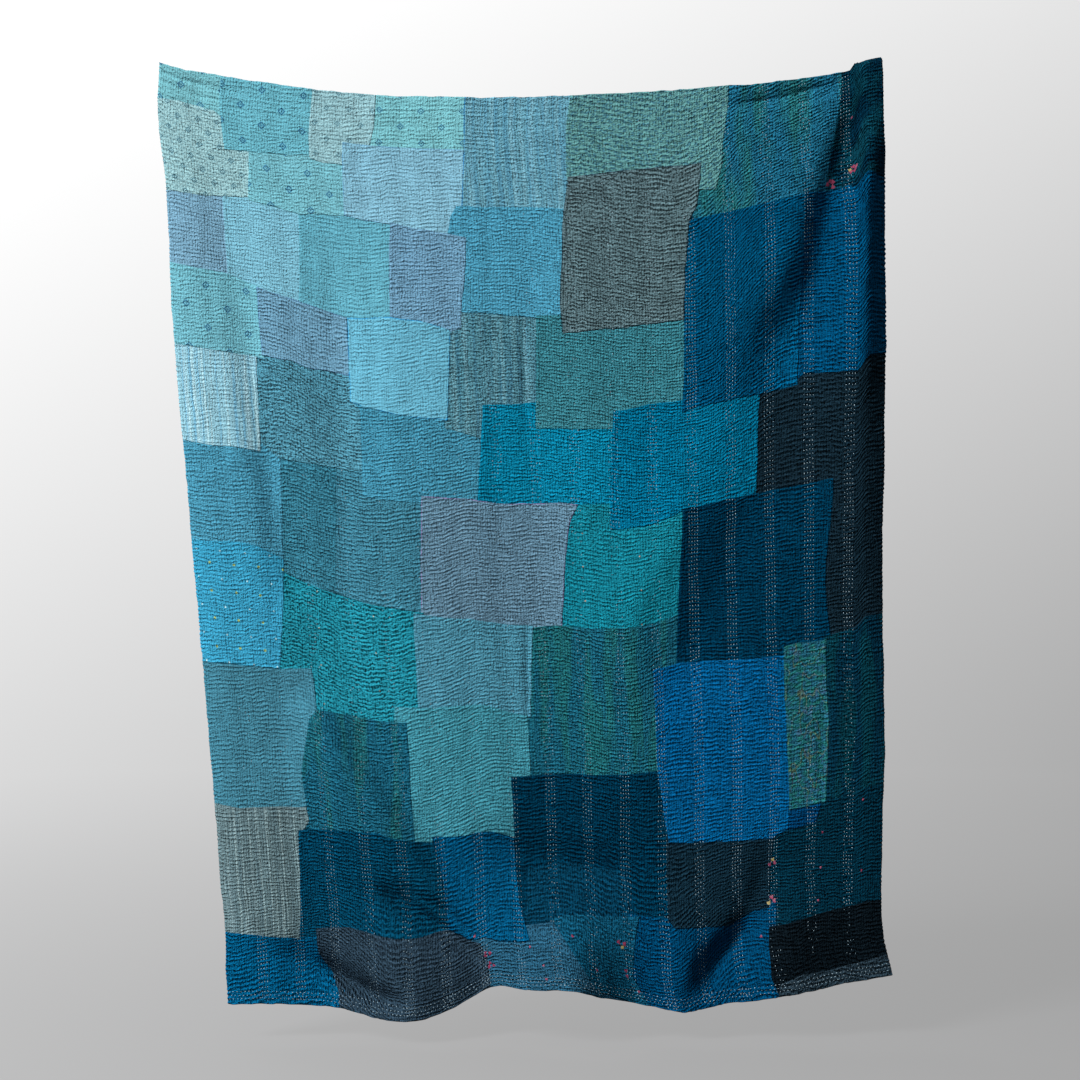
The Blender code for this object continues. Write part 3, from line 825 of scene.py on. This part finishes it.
def makeFlowers(name, letter):
    # each flower is a few small raised petals of the one colour, laid on the cloth
    places, faces = [], []
    angles = [2 * math.pi * k / petal["sides"] for k in range(petal["sides"])]
    for x, drop, size, petals in flowers:
        across, down = flatPlace(x, drop)
        for i, shade in enumerate(petals):
            if shade != letter:
                continue
            turn = i * petal["turn"] + x * 40
            out = petal["apart"] * size * (len(petals) > 1)
            radius = size * (petal["size"] if len(petals) > 1 else 1.0)
            a = across + out * math.cos(turn)
            d = down + out * math.sin(turn)
            ring = [(a, d, petal["height"])]
            for angle in angles:
                wide = radius * (1 + petal["uneven"] * math.sin(3 * angle + x * 90))
                ring.append((a + wide * math.cos(angle), d - wide * math.sin(angle), 0.0))
            ring = np.array(ring)
            lift = layer["thickness"] * layersUnder(ring[:, 0], ring[:, 1])[0] + ring[:, 2]
            first, sides = len(places), len(angles)
            places.extend(draped(ring[:, 0], ring[:, 1], lift).tolist())
            faces.extend((first, first + 1 + k, first + 1 + (k + 1) % sides) for k in range(sides))
    return fromPoints(name, places, faces)


def linear(code):
    # sRGB hex to the linear colour that a shader takes
    values = [int(code[i : i + 2], 16) / 255 for i in (0, 2, 4)]
    return [v / 12.92 if v <= 0.04045 else ((v + 0.055) / 1.055) ** 2.4 for v in values] + [1]


def addNode(tree, kind, inputs=(), output=0, **settings):
    # adds a node with its settings; an input is a value, or the output that it is joined to
    node = tree.nodes.new("ShaderNode" + kind)
    for setting, value in settings.items():
        setattr(node, setting, value)
    for socket, value in inputs.items() if isinstance(inputs, dict) else enumerate(inputs):
        if isinstance(value, bpy.types.NodeSocket):
            tree.links.new(value, node.inputs[socket])
        else:
            node.inputs[socket].default_value = value
    return node.outputs[output]


# settings that many nodes share: what a Math node works out, and a Map Range node's soft ends
times, timesPlus, plus = ({"operation": name} for name in ("MULTIPLY", "MULTIPLY_ADD", "ADD"))
soft = {"interpolation_type": "SMOOTHSTEP"}


def newMaterial(name):
    material = bpy.data.materials.new(name)
    material.use_nodes = True
    return material, material.node_tree, material.node_tree.nodes["Principled BSDF"].inputs


def streaks(tree, flat, acrossSize, downSize, detail=2.0):
    # noise whose lumps are this many metres across and down
    scaled = addNode(tree, "VectorMath", (flat, (1 / acrossSize, 1 / downSize, 1)), **times)
    inputs = {"Vector": scaled, "Scale": 1.0, "Detail": detail}
    return addNode(tree, "TexNoise", inputs, noise_dimensions="2D")


def awayFrom(tree, value, place):
    # how far a value is from a place
    apart = addNode(tree, "Math", (value, place), operation="SUBTRACT")
    return addNode(tree, "Math", (apart,), operation="ABSOLUTE")


def varied(tree, shade, value, *span):
    # the shade, times a value that is brought from one span softly into another
    return addNode(tree, "Math", (shade, addNode(tree, "MapRange", (value, *span), **soft)), **times)


def dimmed(tree, shade, mask, depth, *span):
    # the shade, darker by this share where the mask is full, or where it goes through a span
    if span:
        mask = addNode(tree, "MapRange", (mask, *span), **soft)
    kept = addNode(tree, "Math", (mask, -float(depth), 1.0), **timesPlus)
    return addNode(tree, "Math", (shade, kept), **times)


# The printed motifs, in shares of their size: a dot's soft edge, a speck's, a diamond's outline and
# its line, the dot within it, and how strongly the line and that dot are printed.
motif = {
    "dot": (1.15, 0.75), "speck": (1.35, 0.65), "outline": 0.78, "line": (0.30, 0.10), "inner": (0.38, 0.18),
    "strong": 0.85, "innerStrong": 0.8, "stripeLong": 0.5, "stripe": (0.48, 0.66),
}
noiseSpan = 0.3, 0.7  # where most of a noise's values lie


def motifs(tree, flat, rounded, acrossPitch, downPitch, size, shifted, start):
    # a mask of small dots, or of outlined diamonds with a dot within; every other row of them is
    # shifted aside, and the start sets where the rows and columns fall
    pitches = acrossPitch, downPitch
    places = addNode(tree, "SeparateXYZ", (flat,)).node.outputs
    column, row = (
        addNode(tree, "Math", (place, 1 / pitch, 0.5 - first / pitch), **timesPlus)
        for place, pitch, first in zip(places, pitches, flatPlace(*start))
    )
    whole = addNode(tree, "Math", (row,), operation="FLOOR")
    odd = addNode(tree, "Math", (whole, 1.0), operation="PINGPONG")
    column = addNode(tree, "Math", (odd, shifted, column), **timesPlus)
    aside, along = (
        awayFrom(tree, addNode(tree, "Math", (cell,), operation="FRACT"), 0.5) for cell in (column, row)
    )
    aside = addNode(tree, "Math", (aside, acrossPitch), **times)
    along = addNode(tree, "Math", (along, downPitch), **times)
    dot, line, inner = (tuple(size * share for share in motif[key]) for key in ("dot", "line", "inner"))
    if rounded:
        squares = [addNode(tree, "Math", (side, 2.0), operation="POWER") for side in (aside, along)]
        away = addNode(tree, "Math", (addNode(tree, "Math", squares, **plus),), operation="SQRT")
        return addNode(tree, "MapRange", (away, *dot, 0.0, motif["strong"]), **soft)
    away = addNode(tree, "Math", (aside, along), **plus)
    inner = addNode(tree, "MapRange", (away, *inner, 0.0, motif["innerStrong"]), **soft)
    outline = awayFrom(tree, away, size * motif["outline"])
    outline = addNode(tree, "MapRange", (outline, *line, 0.0, motif["strong"]), **soft)
    return addNode(tree, "Math", (outline, inner), operation="MAXIMUM")


# The weave and wear of the washed sari cotton. A thread is about 0.4 mm, and is drawn at 1.1 mm so
# that it shows; slubs are thick places in the yarn, 1.6 mm wide and some centimetres long.
weave = {
    "thread": 0.0011, "slubWide": 0.0016, "slubLong": 0.060, "slubs": (0.05, 0.03),
    "fade": (0.060, 0.060), "cloudy": 0.035, "uneven": 0.05, "nap": (0.0060, 0.0036),
    "roughness": 0.9, "specular": 0.0, "sheen": 0.002, "sheenRoughness": 0.5,
}
# The quilting, on dark cloth and on light cloth: how dark the painted shade in its valleys, stitch holes
# and rows is, how pale its ridges are (partly rubbed wear, partly a painted highlight), how crumpled its
# ripples are, how deep the relief is, and how much stronger the cloth is dyed to make up for its painted
# dark valleys.
stitched = {
    "valley": (0.70, 0.12), "ridge": (-0.60, -0.07), "hole": (0.45, 0.52), "row": (0.22, 0.09),
    "crumple": (2.5, 3.9), "relief": (0.0030, 0.0007), "dyed": (1.34, 0.95),
}
lightCloth = 0.35  # cloth that gives back this much green light counts as light
# The ripples and the rows of stitch, in metres, in heights of the ripples from -1 to 1, and in shares
# of the way from row to row.
ripples = {
    "rough": (0.0052, 0.0046),  # how fine their crumples are
    "heights": (0.60, 0.46),  # of the first train and the second
    "valley": (0.10, -0.75), "ridge": (0.20, 0.95),  # where each begins and is full
    "wander": (0.020, 0.040), "wanderBy": 0.30,  # how the rows stray
    "byRow": (0.45, 0.05, 0.65, 1.0),  # valleys are deepest on their row
    "row": (0.26, 0.04), "hole": (-0.40, -0.90),
    "holeLumps": (0.012, 0.030), "holes": (0.35, 0.6, 0.2, 1.0),  # where holes are plain, and where faint
}
# How far each thing stands up (+) or is sunk (-) in the relief.
raised = {
    "weave": 0.05, "nap": 1.6, "ripple": 0.80, "row": -0.40, "hole": -0.5, "doubled": 0.5, "rounded": -1.0,
}
# The turned hem of a patch, in metres from its edge: the painted shadow under it, its ridge (rubbed pale and
# a painted highlight), a binding thread where there is one, the end of the doubled cloth, and the rounded
# edge.
hem = {
    "shadow": (0.0012, 0.0004), "ridge": 0.0028, "ridgeWide": 0.0014,
    "binding": 0.0012, "bindingWide": (0.0013, 0.0004), "doubled": (0.0070, 0.0055), "rounded": 0.0016,
    "shadowDark": 0.25, "ridgePale": -0.10,
    "bindingLumps": (0.030, 0.030, 2.0), "bound": (0.38, 0.55, 0.15, 0.9),
}


def printed(tree, flat, kind, *sizes):
    # the mask of a simple print
    if kind == "specks":
        wide, tall, size, much = sizes
        cells = addNode(tree, "VectorMath", (flat, (1 / wide, 1 / tall, 1)), **times)
        away = addNode(tree, "TexVoronoi", {"Vector": cells, "Scale": 1.0}, voronoi_dimensions="2D")
        edge = (size * share for share in motif["speck"])
        return addNode(tree, "MapRange", (away, *edge, 0.0, much), **soft)
    if kind == "scrolls":
        # thin curling lines, where the noise crosses its middle
        wide, tall, line, much = sizes
        away = awayFrom(tree, streaks(tree, flat, wide, tall, 1.0), 0.5)
        return addNode(tree, "MapRange", (away, line, 0.0, 0.0, much), **soft)
    if kind == "stripes":
        wide, much = sizes
        stripe = streaks(tree, flat, wide, motif["stripeLong"], 1.0)
        return addNode(tree, "MapRange", (stripe, *motif["stripe"], 0.0, much), **soft)
    return motifs(tree, flat, kind == "dots", *sizes)


def dyedCotton(name, look):
    # hand-dyed plain-weave cotton, soft from washing: matt, with a faint nap and uneven dye
    material, tree, surface = newMaterial("sari_cotton_" + name)
    flat = addNode(tree, "UVMap", uv_map="flatCloth")
    across, down, _ = addNode(tree, "SeparateXYZ", (flat,)).node.outputs
    edge = addNode(tree, "Attribute", output=2, attribute_name="fromEdge")

    # dye and yarn
    fade = streaks(tree, flat, *look.get("fade", weave["fade"]), 3.0)
    fade = addNode(tree, "MapRange", (fade, 0.40, 0.60), **soft)
    dyes = linear(look["colour"]), linear(look.get("second", look["colour"]))
    mixed = {"data_type": "RGBA", "output": 2}
    colour = addNode(tree, "Mix", {0: fade, 6: dyes[0], 7: dyes[1]}, **mixed)
    much = look.get("uneven", weave["uneven"])
    cloudy = streaks(tree, flat, weave["cloudy"], weave["cloudy"], 3.0)
    shade = addNode(tree, "MapRange", (cloudy, *noiseSpan, 1 - much, 1 + much), **soft)
    slub = weave["slubWide"], weave["slubLong"]
    for much, size in zip(look.get("slubs", weave["slubs"]), (slub, slub[::-1])):
        shade = varied(tree, shade, streaks(tree, flat, *size), *noiseSpan, 1 - much, 1 + much)
    for kind, code, *sizes in look.get("prints", ()):
        mask = printed(tree, flat, kind, *sizes)
        colour = addNode(tree, "Mix", {0: mask, 6: colour, 7: linear(code)}, **mixed)

    # the quilting: jagged ripples with painted shade in their valleys, a painted shadow in the hole at each
    # stitch, and painted shade in the row's own groove; dark cloth shows its valleys more, and light cloth
    # its stitches
    light = min(1.0, linear(look["colour"])[1] / lightCloth)
    sewn = {key: float(np.interp(light, (0, 1), pair)) for key, pair in stitched.items()}
    jagged = sewn["crumple"] * look.get("crumple", 1.0)
    rough = streaks(tree, flat, *ripples["rough"], 1.0).node.outputs[1]
    rough = addNode(tree, "SeparateXYZ", (rough,)).node.outputs
    waves = []
    for i, train in enumerate(("firstPhase", "secondPhase")):
        phase = addNode(tree, "Attribute", output=2, attribute_name=train)
        shift = addNode(tree, "Math", (rough[i], 2 * jagged, -jagged), **timesPlus)
        phase = addNode(tree, "Math", (phase, shift), **plus)
        waves.append(addNode(tree, "Math", (phase,), operation="COSINE"))
    high = [addNode(tree, "Math", pair, **times) for pair in zip(waves, ripples["heights"])]
    high = addNode(tree, "Math", high, **plus)
    stray, strayBy = streaks(tree, flat, *ripples["wander"], 1.0), ripples["wanderBy"]
    stray = addNode(tree, "MapRange", (stray, 0.2, 0.8, -strayBy, strayBy), **soft)
    offRow = addNode(tree, "Math", (across, 1 / rowPitch, stray), **timesPlus)
    offRow = awayFrom(tree, offRow, addNode(tree, "Math", (offRow,), operation="ROUND"))
    valley = addNode(tree, "MapRange", (high, *ripples["valley"]), **soft)
    valley = varied(tree, valley, offRow, *ripples["byRow"])
    row = addNode(tree, "MapRange", (offRow, *ripples["row"]), **soft)
    hole = varied(tree, row, waves[0], *ripples["hole"])
    hole = varied(tree, hole, streaks(tree, flat, *ripples["holeLumps"], 1.0), *ripples["holes"])
    shade = addNode(tree, "Math", (shade, sewn["dyed"]), **times)
    # painted shade in valleys, holes and grooves; paled ridges: rubbed wear and a painted highlight
    shade = dimmed(tree, shade, valley, look.get("valley", sewn["valley"]))
    shade = dimmed(tree, shade, high, sewn["ridge"], *ripples["ridge"])
    shade = dimmed(tree, shade, hole, sewn["hole"])
    shade = dimmed(tree, shade, row, sewn["row"])

    # the turned hem: a painted shadow where it meets the cloth below, and a pale line on its ridge that is
    # partly rubbed wear and partly a painted highlight; some patches are bound with a thread of another
    # colour
    if "edgeLine" in look:
        line = awayFrom(tree, edge, hem["binding"])
        line = addNode(tree, "MapRange", (line, *hem["bindingWide"]), **soft)
        line = varied(tree, line, streaks(tree, flat, *hem["bindingLumps"]), *hem["bound"])
        colour = addNode(tree, "Mix", {0: line, 6: colour, 7: linear(look["edgeLine"])}, **mixed)
    edged = look.get("edged", 1.0)
    # painted shadow at the hem's edge, then the pale ridge line: rubbed wear and a painted highlight
    shade = dimmed(tree, shade, edge, hem["shadowDark"] * edged, *hem["shadow"])
    ridge = awayFrom(tree, edge, hem["ridge"])
    shade = dimmed(tree, shade, ridge, hem["ridgePale"] * edged, hem["ridgeWide"], 0.0)
    tone = addNode(tree, "CombineXYZ", (shade, shade, shade))
    toned = addNode(tree, "Mix", {0: 1.0, 6: colour, 7: tone}, blend_type="MULTIPLY", **mixed)
    tree.links.new(toned, surface["Base Color"])

    # relief: weave, slubs, the puff between the rows, the sunk valleys and the doubled hem
    turn = 2 * math.pi / weave["thread"]
    threads = [addNode(tree, "Math", (place, turn), **times) for place in (across, down)]
    threads = [addNode(tree, "Math", (place,), operation="SINE") for place in threads]
    relief = addNode(tree, "Math", (addNode(tree, "Math", threads, **times), raised["weave"]), **times)
    doubled = addNode(tree, "MapRange", (edge, *hem["doubled"]), **soft)
    rounded = addNode(tree, "MapRange", (edge, hem["rounded"], 0.0), **soft)
    nap = streaks(tree, flat, *weave["nap"], 3.0)
    for value, much in ((nap, "nap"), (high, "ripple"), (row, "row"), (hole, "hole")):
        relief = addNode(tree, "Math", (value, raised[much], relief), **timesPlus)
    for value, much in ((doubled, "doubled"), (rounded, "rounded")):
        relief = addNode(tree, "Math", (value, raised[much] * edged, relief), **timesPlus)
    deep = sewn["relief"] * look.get("raised", 1.0)
    bump = addNode(tree, "Bump", {"Height": relief, "Strength": 1.0, "Distance": deep})
    tree.links.new(bump, surface["Normal"])
    surface["Roughness"].default_value = weave["roughness"]
    surface["Specular IOR Level"].default_value = weave["specular"]
    surface["Sheen Weight"].default_value = weave["sheen"]
    surface["Sheen Roughness"].default_value = weave["sheenRoughness"]
    return material


# The cottons, each named for its patch. White is the share of its stitches whose thread shows. Prints
# are given by their kind, colour and sizes: specks and scrolls by how wide and tall they are apart,
# their size and strength; stripes by their spacing and strength; dots and diamonds by how far apart
# they are across and down, their size, how far every other row is shifted, and the start of the rows.
# valley sets how dark a cloth's painted valley shade is; edged scales its hem's painted shadow, pale ridge
# and relief
cottons = {
    "slateTeal": {"colour": "3c778b", "white": 0.15},
    # painted shade: the slate teal cloth made darker; its hem's painted shadow is nearly off, so no line
    # shows
    "slateTealPaintedShade": {"colour": "357488", "white": 0.15, "edged": 0.1},
    "tealSlate": {"colour": "4d899d", "valley": 0.75},
    "tealBlue": {"colour": "478ea8"},
    "teal": {"colour": "40869f", "white": 0.1},
    "slateBlue": {"colour": "729cb3", "edgeLine": "5d7fa0"},
    "lightBlue": {"colour": "74adc0"},
    "aquaTeal": {"colour": "5da0b2"},
    "aquaDiamond": {
        "colour": "6facb5", "prints": (("diamonds", "235a80", 0.079, 0.033, 0.0078, 0.5, (-0.600, 0.022)),),
    },
    "sageSpeckled": {
        "colour": "90b8bd",
        "prints": (
            ("specks", "4f7a86", 0.009, 0.0060, 0.24, 0.55),
            ("diamonds", "3a6878", 0.038, 0.024, 0.0062, 0.5, (-0.600, 0.100)),
        ),
    },
    "aquaDiamondLow": {
        "colour": "6eacb8", "prints": (("diamonds", "235a80", 0.079, 0.036, 0.0078, 0.5, (-0.438, 0.134)),),
    },
    "aquaDiamondTop": {
        "colour": "62a5b4", "prints": (("diamonds", "1f5379", 0.079, 0.034, 0.0078, 0.5, (-0.522, -0.016)),),
    },
    "aquaGreen": {
        "colour": "72b1b9", "prints": (("diamonds", "2b6486", 0.081, 0.032, 0.0072, 0.5, (-0.224, 0.0)),),
    },
    "sagePlain": {
        "colour": "8bb3ba",
        "prints": (
            ("specks", "577f8a", 0.009, 0.0060, 0.22, 0.50),
            ("diamonds", "4a7684", 0.044, 0.030, 0.0060, 0.5, (-0.300, 0.050)),
        ),
    },
    "steelBlue": {"colour": "7aabbf", "edgeLine": "5b8fb0", "valley": 0.12},
    "tealMottle": {
        "colour": "266a6f", "second": "1e6480", "fade": (0.060, 0.400), "valley": 0.80, "white": 0.5,
        "prints": (("specks", "164a60", 0.011, 0.0055, 0.27, 0.50),),
    },
    "tealNavy": {"colour": "032537", "second": "083644", "white": 0.9},
    "midBlue": {
        "colour": "6298aa", "crumple": 1.2, "valley": 0.42, "edgeLine": "1f74ac",
        "prints": (("stripes", "4f8aa4", 0.009, 0.6), ("stripes", "7fb2c2", 0.013, 0.45)),
    },
    "greyTeal": {
        "colour": "518594", "crumple": 1.2, "valley": 0.60,
        "prints": (("stripes", "3f7288", 0.008, 0.6), ("stripes", "74a2ae", 0.012, 0.40)),
    },
    "paleBlue": {
        "colour": "8bbbca", "crumple": 1.3, "slubs": (0.10, 0.04),
        "prints": (("stripes", "6facc8", 0.005, 0.8), ("stripes", "b4d8df", 0.006, 0.6)),
    },
    "aquaFaint": {
        "colour": "6cacba", "prints": (("diamonds", "25597f", 0.078, 0.041, 0.0078, 0.5, (-0.620, 0.472)),),
    },
    "tealBlueUpper": {"colour": "478faa", "white": 0.1, "slubs": (0.10, 0.03)},
    "slateMauve": {"colour": "6690aa", "valley": 0.20},
    "slateMauveLow": {"colour": "6591a9", "crumple": 0.5, "edgeLine": "50749a"},
    "cyanBright": {"colour": "62a6bd", "edgeLine": "1f86bc"},
    "tealBright": {"colour": "0a7898", "white": 0.45},
    "greenTeal": {"colour": "367682", "white": 0.15},
    "greenSpeckled": {
        "colour": "57898a", "white": 0.1, "prints": (("specks", "1e4f6a", 0.0115, 0.0058, 0.29, 0.62),),
    },
    "blackNavyRight": {"colour": "11222c", "white": 0.9},
    "greenDots": {
        "colour": "147789", "white": 0.2,
        "prints": (("dots", "b08a6c", 0.230, 0.033, 0.0017, 0.5, (0.117, 0.799)),),
    },
    "blueTealBright": {"colour": "046788", "white": 0.6},
    "mauveGrey": {"colour": "5d7f93", "white": 0.1, "edgeLine": "7d6f9c"},
    "greenMottle": {
        "colour": "1f6268", "second": "1a5c70", "fade": (0.030, 0.300), "white": 0.4,
        "prints": (("specks", "0e4258", 0.011, 0.0055, 0.27, 0.50),),
    },
    "strongBlueRight": {"colour": "013f61", "white": 0.95},
    "strongBlue": {"colour": "024a6d", "white": 0.95, "valley": 0.80},
    "warmGrey": {"colour": "546c72", "valley": 0.75, "white": 0.3, "edgeLine": "1b3442", "uneven": 0.09},
    "navyTeal": {"colour": "013048", "white": 0.95},
    "tealGreen": {
        "colour": "228699", "white": 0.25, "valley": 0.85,
        "prints": (("dots", "b0a890", 0.230, 0.036, 0.0016, 0.5, (-0.274, 0.974)),),
    },
    "lightSteelTeal": {"colour": "4b899e", "white": 0.15},
    "lightTeal": {"colour": "408a9a", "white": 0.2},
    "slateTealLow": {"colour": "3b7183", "white": 0.1, "valley": 0.15, "raised": 0.5},
    "brightBlue": {
        "colour": "3996b8",
        "prints": (
            ("dots", "9fab46", 0.0484, 0.0530, 0.0028, 0.0, (-0.579, 0.900)),
            ("dots", "a9cdd2", 0.0484, 0.0530, 0.0019, 0.0, (-0.555, 0.926)),
        ),
    },
    "darkGreenMottle": {
        "colour": "22666e", "second": "1c5f76", "fade": (0.030, 0.300), "white": 0.5,
        "prints": (("specks", "0f4459", 0.012, 0.0060, 0.27, 0.50),),
    },
    "navyHalf": {"colour": "013047", "white": 0.95},
    "navyHalfLow": {"colour": "063850", "white": 0.8},
    "greyGreen": {
        "colour": "596f74", "white": 0.15, "slubs": (0.12, 0.04), "edgeLine": "4e666c", "valley": 0.15,
        "raised": 0.6, "prints": (("stripes", "8ba3a6", 0.006, 0.5), ("stripes", "4c636b", 0.007, 0.5)),
    },
    "darkTealGreen": {"colour": "083541", "second": "062c3e", "white": 0.5, "fade": (0.030, 0.200)},
    "darkTealDots": {"colour": "042a3a", "white": 0.8},
    "cobaltBit": {"colour": "02365c", "white": 0.9},
    "brightBlueHem": {"colour": "013c5e", "white": 0.95},
    "blackNavyLow": {"colour": "112835", "white": 0.8},
    "cobalt": {"colour": "045180", "white": 0.9},
    "greenGoldLilac": {
        "colour": "1e6060", "second": "20586c", "fade": (0.014, 0.010), "white": 0.3, "crumple": 1.3,
        "prints": (
            ("scrolls", "5f6238", 0.034, 0.060, 0.022, 0.6),
            ("scrolls", "44587c", 0.026, 0.040, 0.022, 0.5),
        ),
    },
    "petrol": {"colour": "043f59", "white": 0.9},
    "blueHem": {"colour": "04547b", "white": 0.95},
    "steelHem": {"colour": "25526a", "white": 0.7},
    # painted shade: the steel hem's cloth made darker where its fold is turned from the light
    "steelHemPaintedShade": {"colour": "0f4c66", "white": 0.6},
    "slateHem": {"colour": "26353f", "white": 0.35},
    # its near-black edge line is a painted shadow under the turned edge, drawn where a binding thread would
    # be
    "blueDarkEdge": {"colour": "044c71", "white": 0.95, "edgeLine": "021d30"},
    "charcoalMauve": {"colour": "2a3c4a", "white": 0.9},
    "nearBlack": {"colour": "0b141a", "white": 0.35},
}


# Threads: undyed sewing cotton, matt and a little soiled in places, and dyed embroidery silk, worn in
# places and a little glossy.
spun = {
    "cotton": {"lumps": 60.0, "worn": (0.35, 0.7), "roughness": 0.9, "colours": ("93a9b3", "677e89")},
    "silk": {"lumps": 400.0, "worn": (0.3, 0.7), "roughness": 0.6, "darker": 0.6},
}


def spunThread(name, kind, first, second):
    material, tree, surface = newMaterial(name)
    place = addNode(tree, "TexCoord", output=3)
    worn = addNode(tree, "TexNoise", {"Vector": place, "Scale": spun[kind]["lumps"]})
    worn = addNode(tree, "MapRange", (worn, *spun[kind]["worn"]), **soft)
    colour = addNode(tree, "Mix", {0: worn, 6: first, 7: second}, 2, data_type="RGBA")
    tree.links.new(colour, surface["Base Color"])
    surface["Roughness"].default_value = spun[kind]["roughness"]
    return material


# The studio: a pale sweep of floor and wall all round, its brightness a painted glow; soft light from the
# upper left.
studio = {
    "floor": -1.773, "reach": 6.0, "bend": 3.0, "height": 9.0, "steps": 16, "turns": 96,
    # the paper's brightness is a painted glow, as if lit from the upper left, falling off to the right
    "near": 0.385, "far": 0.53, "high": 0.93, "wallTop": 2.0,  # how bright the paper is, and up to where
    "leftToRight": 0.062, "paper": "303031", "paperRoughness": 0.95,
    "keyPlace": (-8.5, -9.5, 8.0), "keySize": 5.0, "keyPower": 3900,
    "backPlace": (-2.6, 4.2, 1.6), "backSize": 2.4, "backPower": 160,
    "aimAt": (0, 0, -0.85),
    "room": 0.30, "roomLeft": -0.6, "roomAbove": 0.85, "roomColour": (0.93, 0.97, 1.0, 1),
    "camera": (0.038, -5.0, -0.833), "lens": 88.7,
}


def makeStudio():
    # a pale paper sweep: floor, round bend and wall, turned about the quilt
    bpy.ops.object.select_all(action="DESELECT")
    reach, bend, floorHeight = studio["reach"], studio["bend"], studio["floor"]
    profile = [(0.0, 0.0), (reach, 0.0)]
    for i in range(1, studio["steps"] + 1):
        angle = i / studio["steps"] * math.pi / 2
        profile.append((reach + bend * math.sin(angle), bend * (1 - math.cos(angle))))
    profile.append((reach + bend, studio["height"]))
    mesh = bpy.data.meshes.new("studio_sweep")
    points = [(r, 0, floorHeight + h) for r, h in profile]
    mesh.from_pydata(points, [(i, i + 1) for i in range(len(points) - 1)], [])
    sweep = bpy.data.objects.new("studio_sweep", mesh)
    bpy.context.scene.collection.objects.link(sweep)
    turn = sweep.modifiers.new("turn", "SCREW")
    turn.steps = turn.render_steps = studio["turns"]
    turn.use_merge_vertices = True
    turn.merge_threshold = 0.0001
    turn.use_normal_flip = True
    bpy.context.view_layer.objects.active = sweep
    sweep.select_set(True)
    bpy.ops.object.modifier_apply(modifier="turn")
    sweep.data.shade_smooth()
    # painted light: the paper glows, brighter up the wall and to the left, as if lit from the upper left
    material, tree, surface = newMaterial("paper_painted_glow")
    place = addNode(tree, "TexCoord", output=3)
    across, _, up = addNode(tree, "SeparateXYZ", (place,)).node.outputs
    out = addNode(tree, "VectorMath", (place, (1, 1, 0)), **times)
    out = addNode(tree, "VectorMath", (out,), 1, operation="LENGTH")
    near, far = studio["near"], studio["far"]
    floorShade = addNode(tree, "MapRange", (out, 0.0, reach, near, far))
    wallShade = addNode(tree, "MapRange", (up, floorHeight, studio["wallTop"], 0.0, studio["high"] - far))
    shade = addNode(tree, "Math", (floorShade, wallShade), **plus)
    shade = addNode(tree, "Math", (across, -studio["leftToRight"], shade), **timesPlus)
    tree.links.new(addNode(tree, "CombineXYZ", (shade, shade, shade)), surface["Emission Color"])
    surface["Emission Strength"].default_value = 1.0
    surface["Roughness"].default_value = studio["paperRoughness"]
    surface["Specular IOR Level"].default_value = 0.0
    surface["Base Color"].default_value = linear(studio["paper"])
    sweep.data.materials.append(material)
    sweep.visible_diffuse = False
    sweep.visible_shadow = False


def makeSoftbox(name):
    place = studio[name + "Place"]
    bpy.ops.object.light_add(type="AREA", location=place)
    softbox = bpy.context.object
    softbox.name = name + "_softbox"
    softbox.data.shape = "SQUARE"
    softbox.data.size = studio[name + "Size"]
    softbox.data.energy = studio[name + "Power"]
    aim = Vector(studio["aimAt"]) - Vector(place)
    softbox.rotation_euler = aim.to_track_quat("-Z", "Y").to_euler()
    softbox.visible_camera = False


def makeLight():
    world = bpy.data.worlds.new("soft_room")
    bpy.context.scene.world = world
    world.use_nodes = True
    tree = world.node_tree
    sky = tree.nodes["Background"].inputs
    # the room is lighter above and to the left
    side, _, up = addNode(tree, "SeparateXYZ", (addNode(tree, "TexCoord"),)).node.outputs
    fromLeft = addNode(tree, "Math", (side, studio["roomLeft"], 1.0), **timesPlus)
    fromAbove = addNode(tree, "Math", (up, studio["roomAbove"], 1.0), **timesPlus)
    strength = addNode(tree, "Math", (fromLeft, fromAbove), **times)
    tree.links.new(addNode(tree, "Math", (strength, studio["room"]), **times), sky["Strength"])
    sky["Color"].default_value = studio["roomColour"]
    makeSoftbox("key")
    makeSoftbox("back")


def makeCamera():
    # level, square on, five metres away
    bpy.ops.object.camera_add(location=studio["camera"], rotation=(math.pi / 2, 0, 0))
    camera = bpy.context.object
    camera.data.sensor_width = 36
    camera.data.lens = studio["lens"]
    bpy.context.scene.camera = camera


def sewIn(piece, material):
    # gives a piece its material, and hangs it with the quilt
    piece.data.materials.append(material)
    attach(piece, "root")
    return piece


makeCamera()
makeLight()
makeStudio()
bpy.context.scene.view_settings.view_transform = "Standard"
print("studio ready")

pieces = [sewIn(makePatch(name), dyedCotton(name, look)) for name, look in cottons.items()]
print(len(pieces), "patches sewn")

quiltBack = sewIn(makeBacking(), dyedCotton("backing", backing))
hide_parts("quilt")
print("back in")

offWhite = spunThread("offwhite_cotton_thread", "cotton", *map(linear, spun["cotton"]["colours"]))
pieces += [sewIn(makeThreadRows(), offWhite), sewIn(makeHemRows(), offWhite)]
print("stitches in")

for name, (letter, code) in silks.items():
    first = linear(code)
    second = [spun["silk"]["darker"] * v for v in first[:3]] + [1]
    silk = spunThread("embroidery_silk_" + name, "silk", first, second)
    pieces.append(sewIn(makeFlowers(name, letter), silk))
print("flowers in")
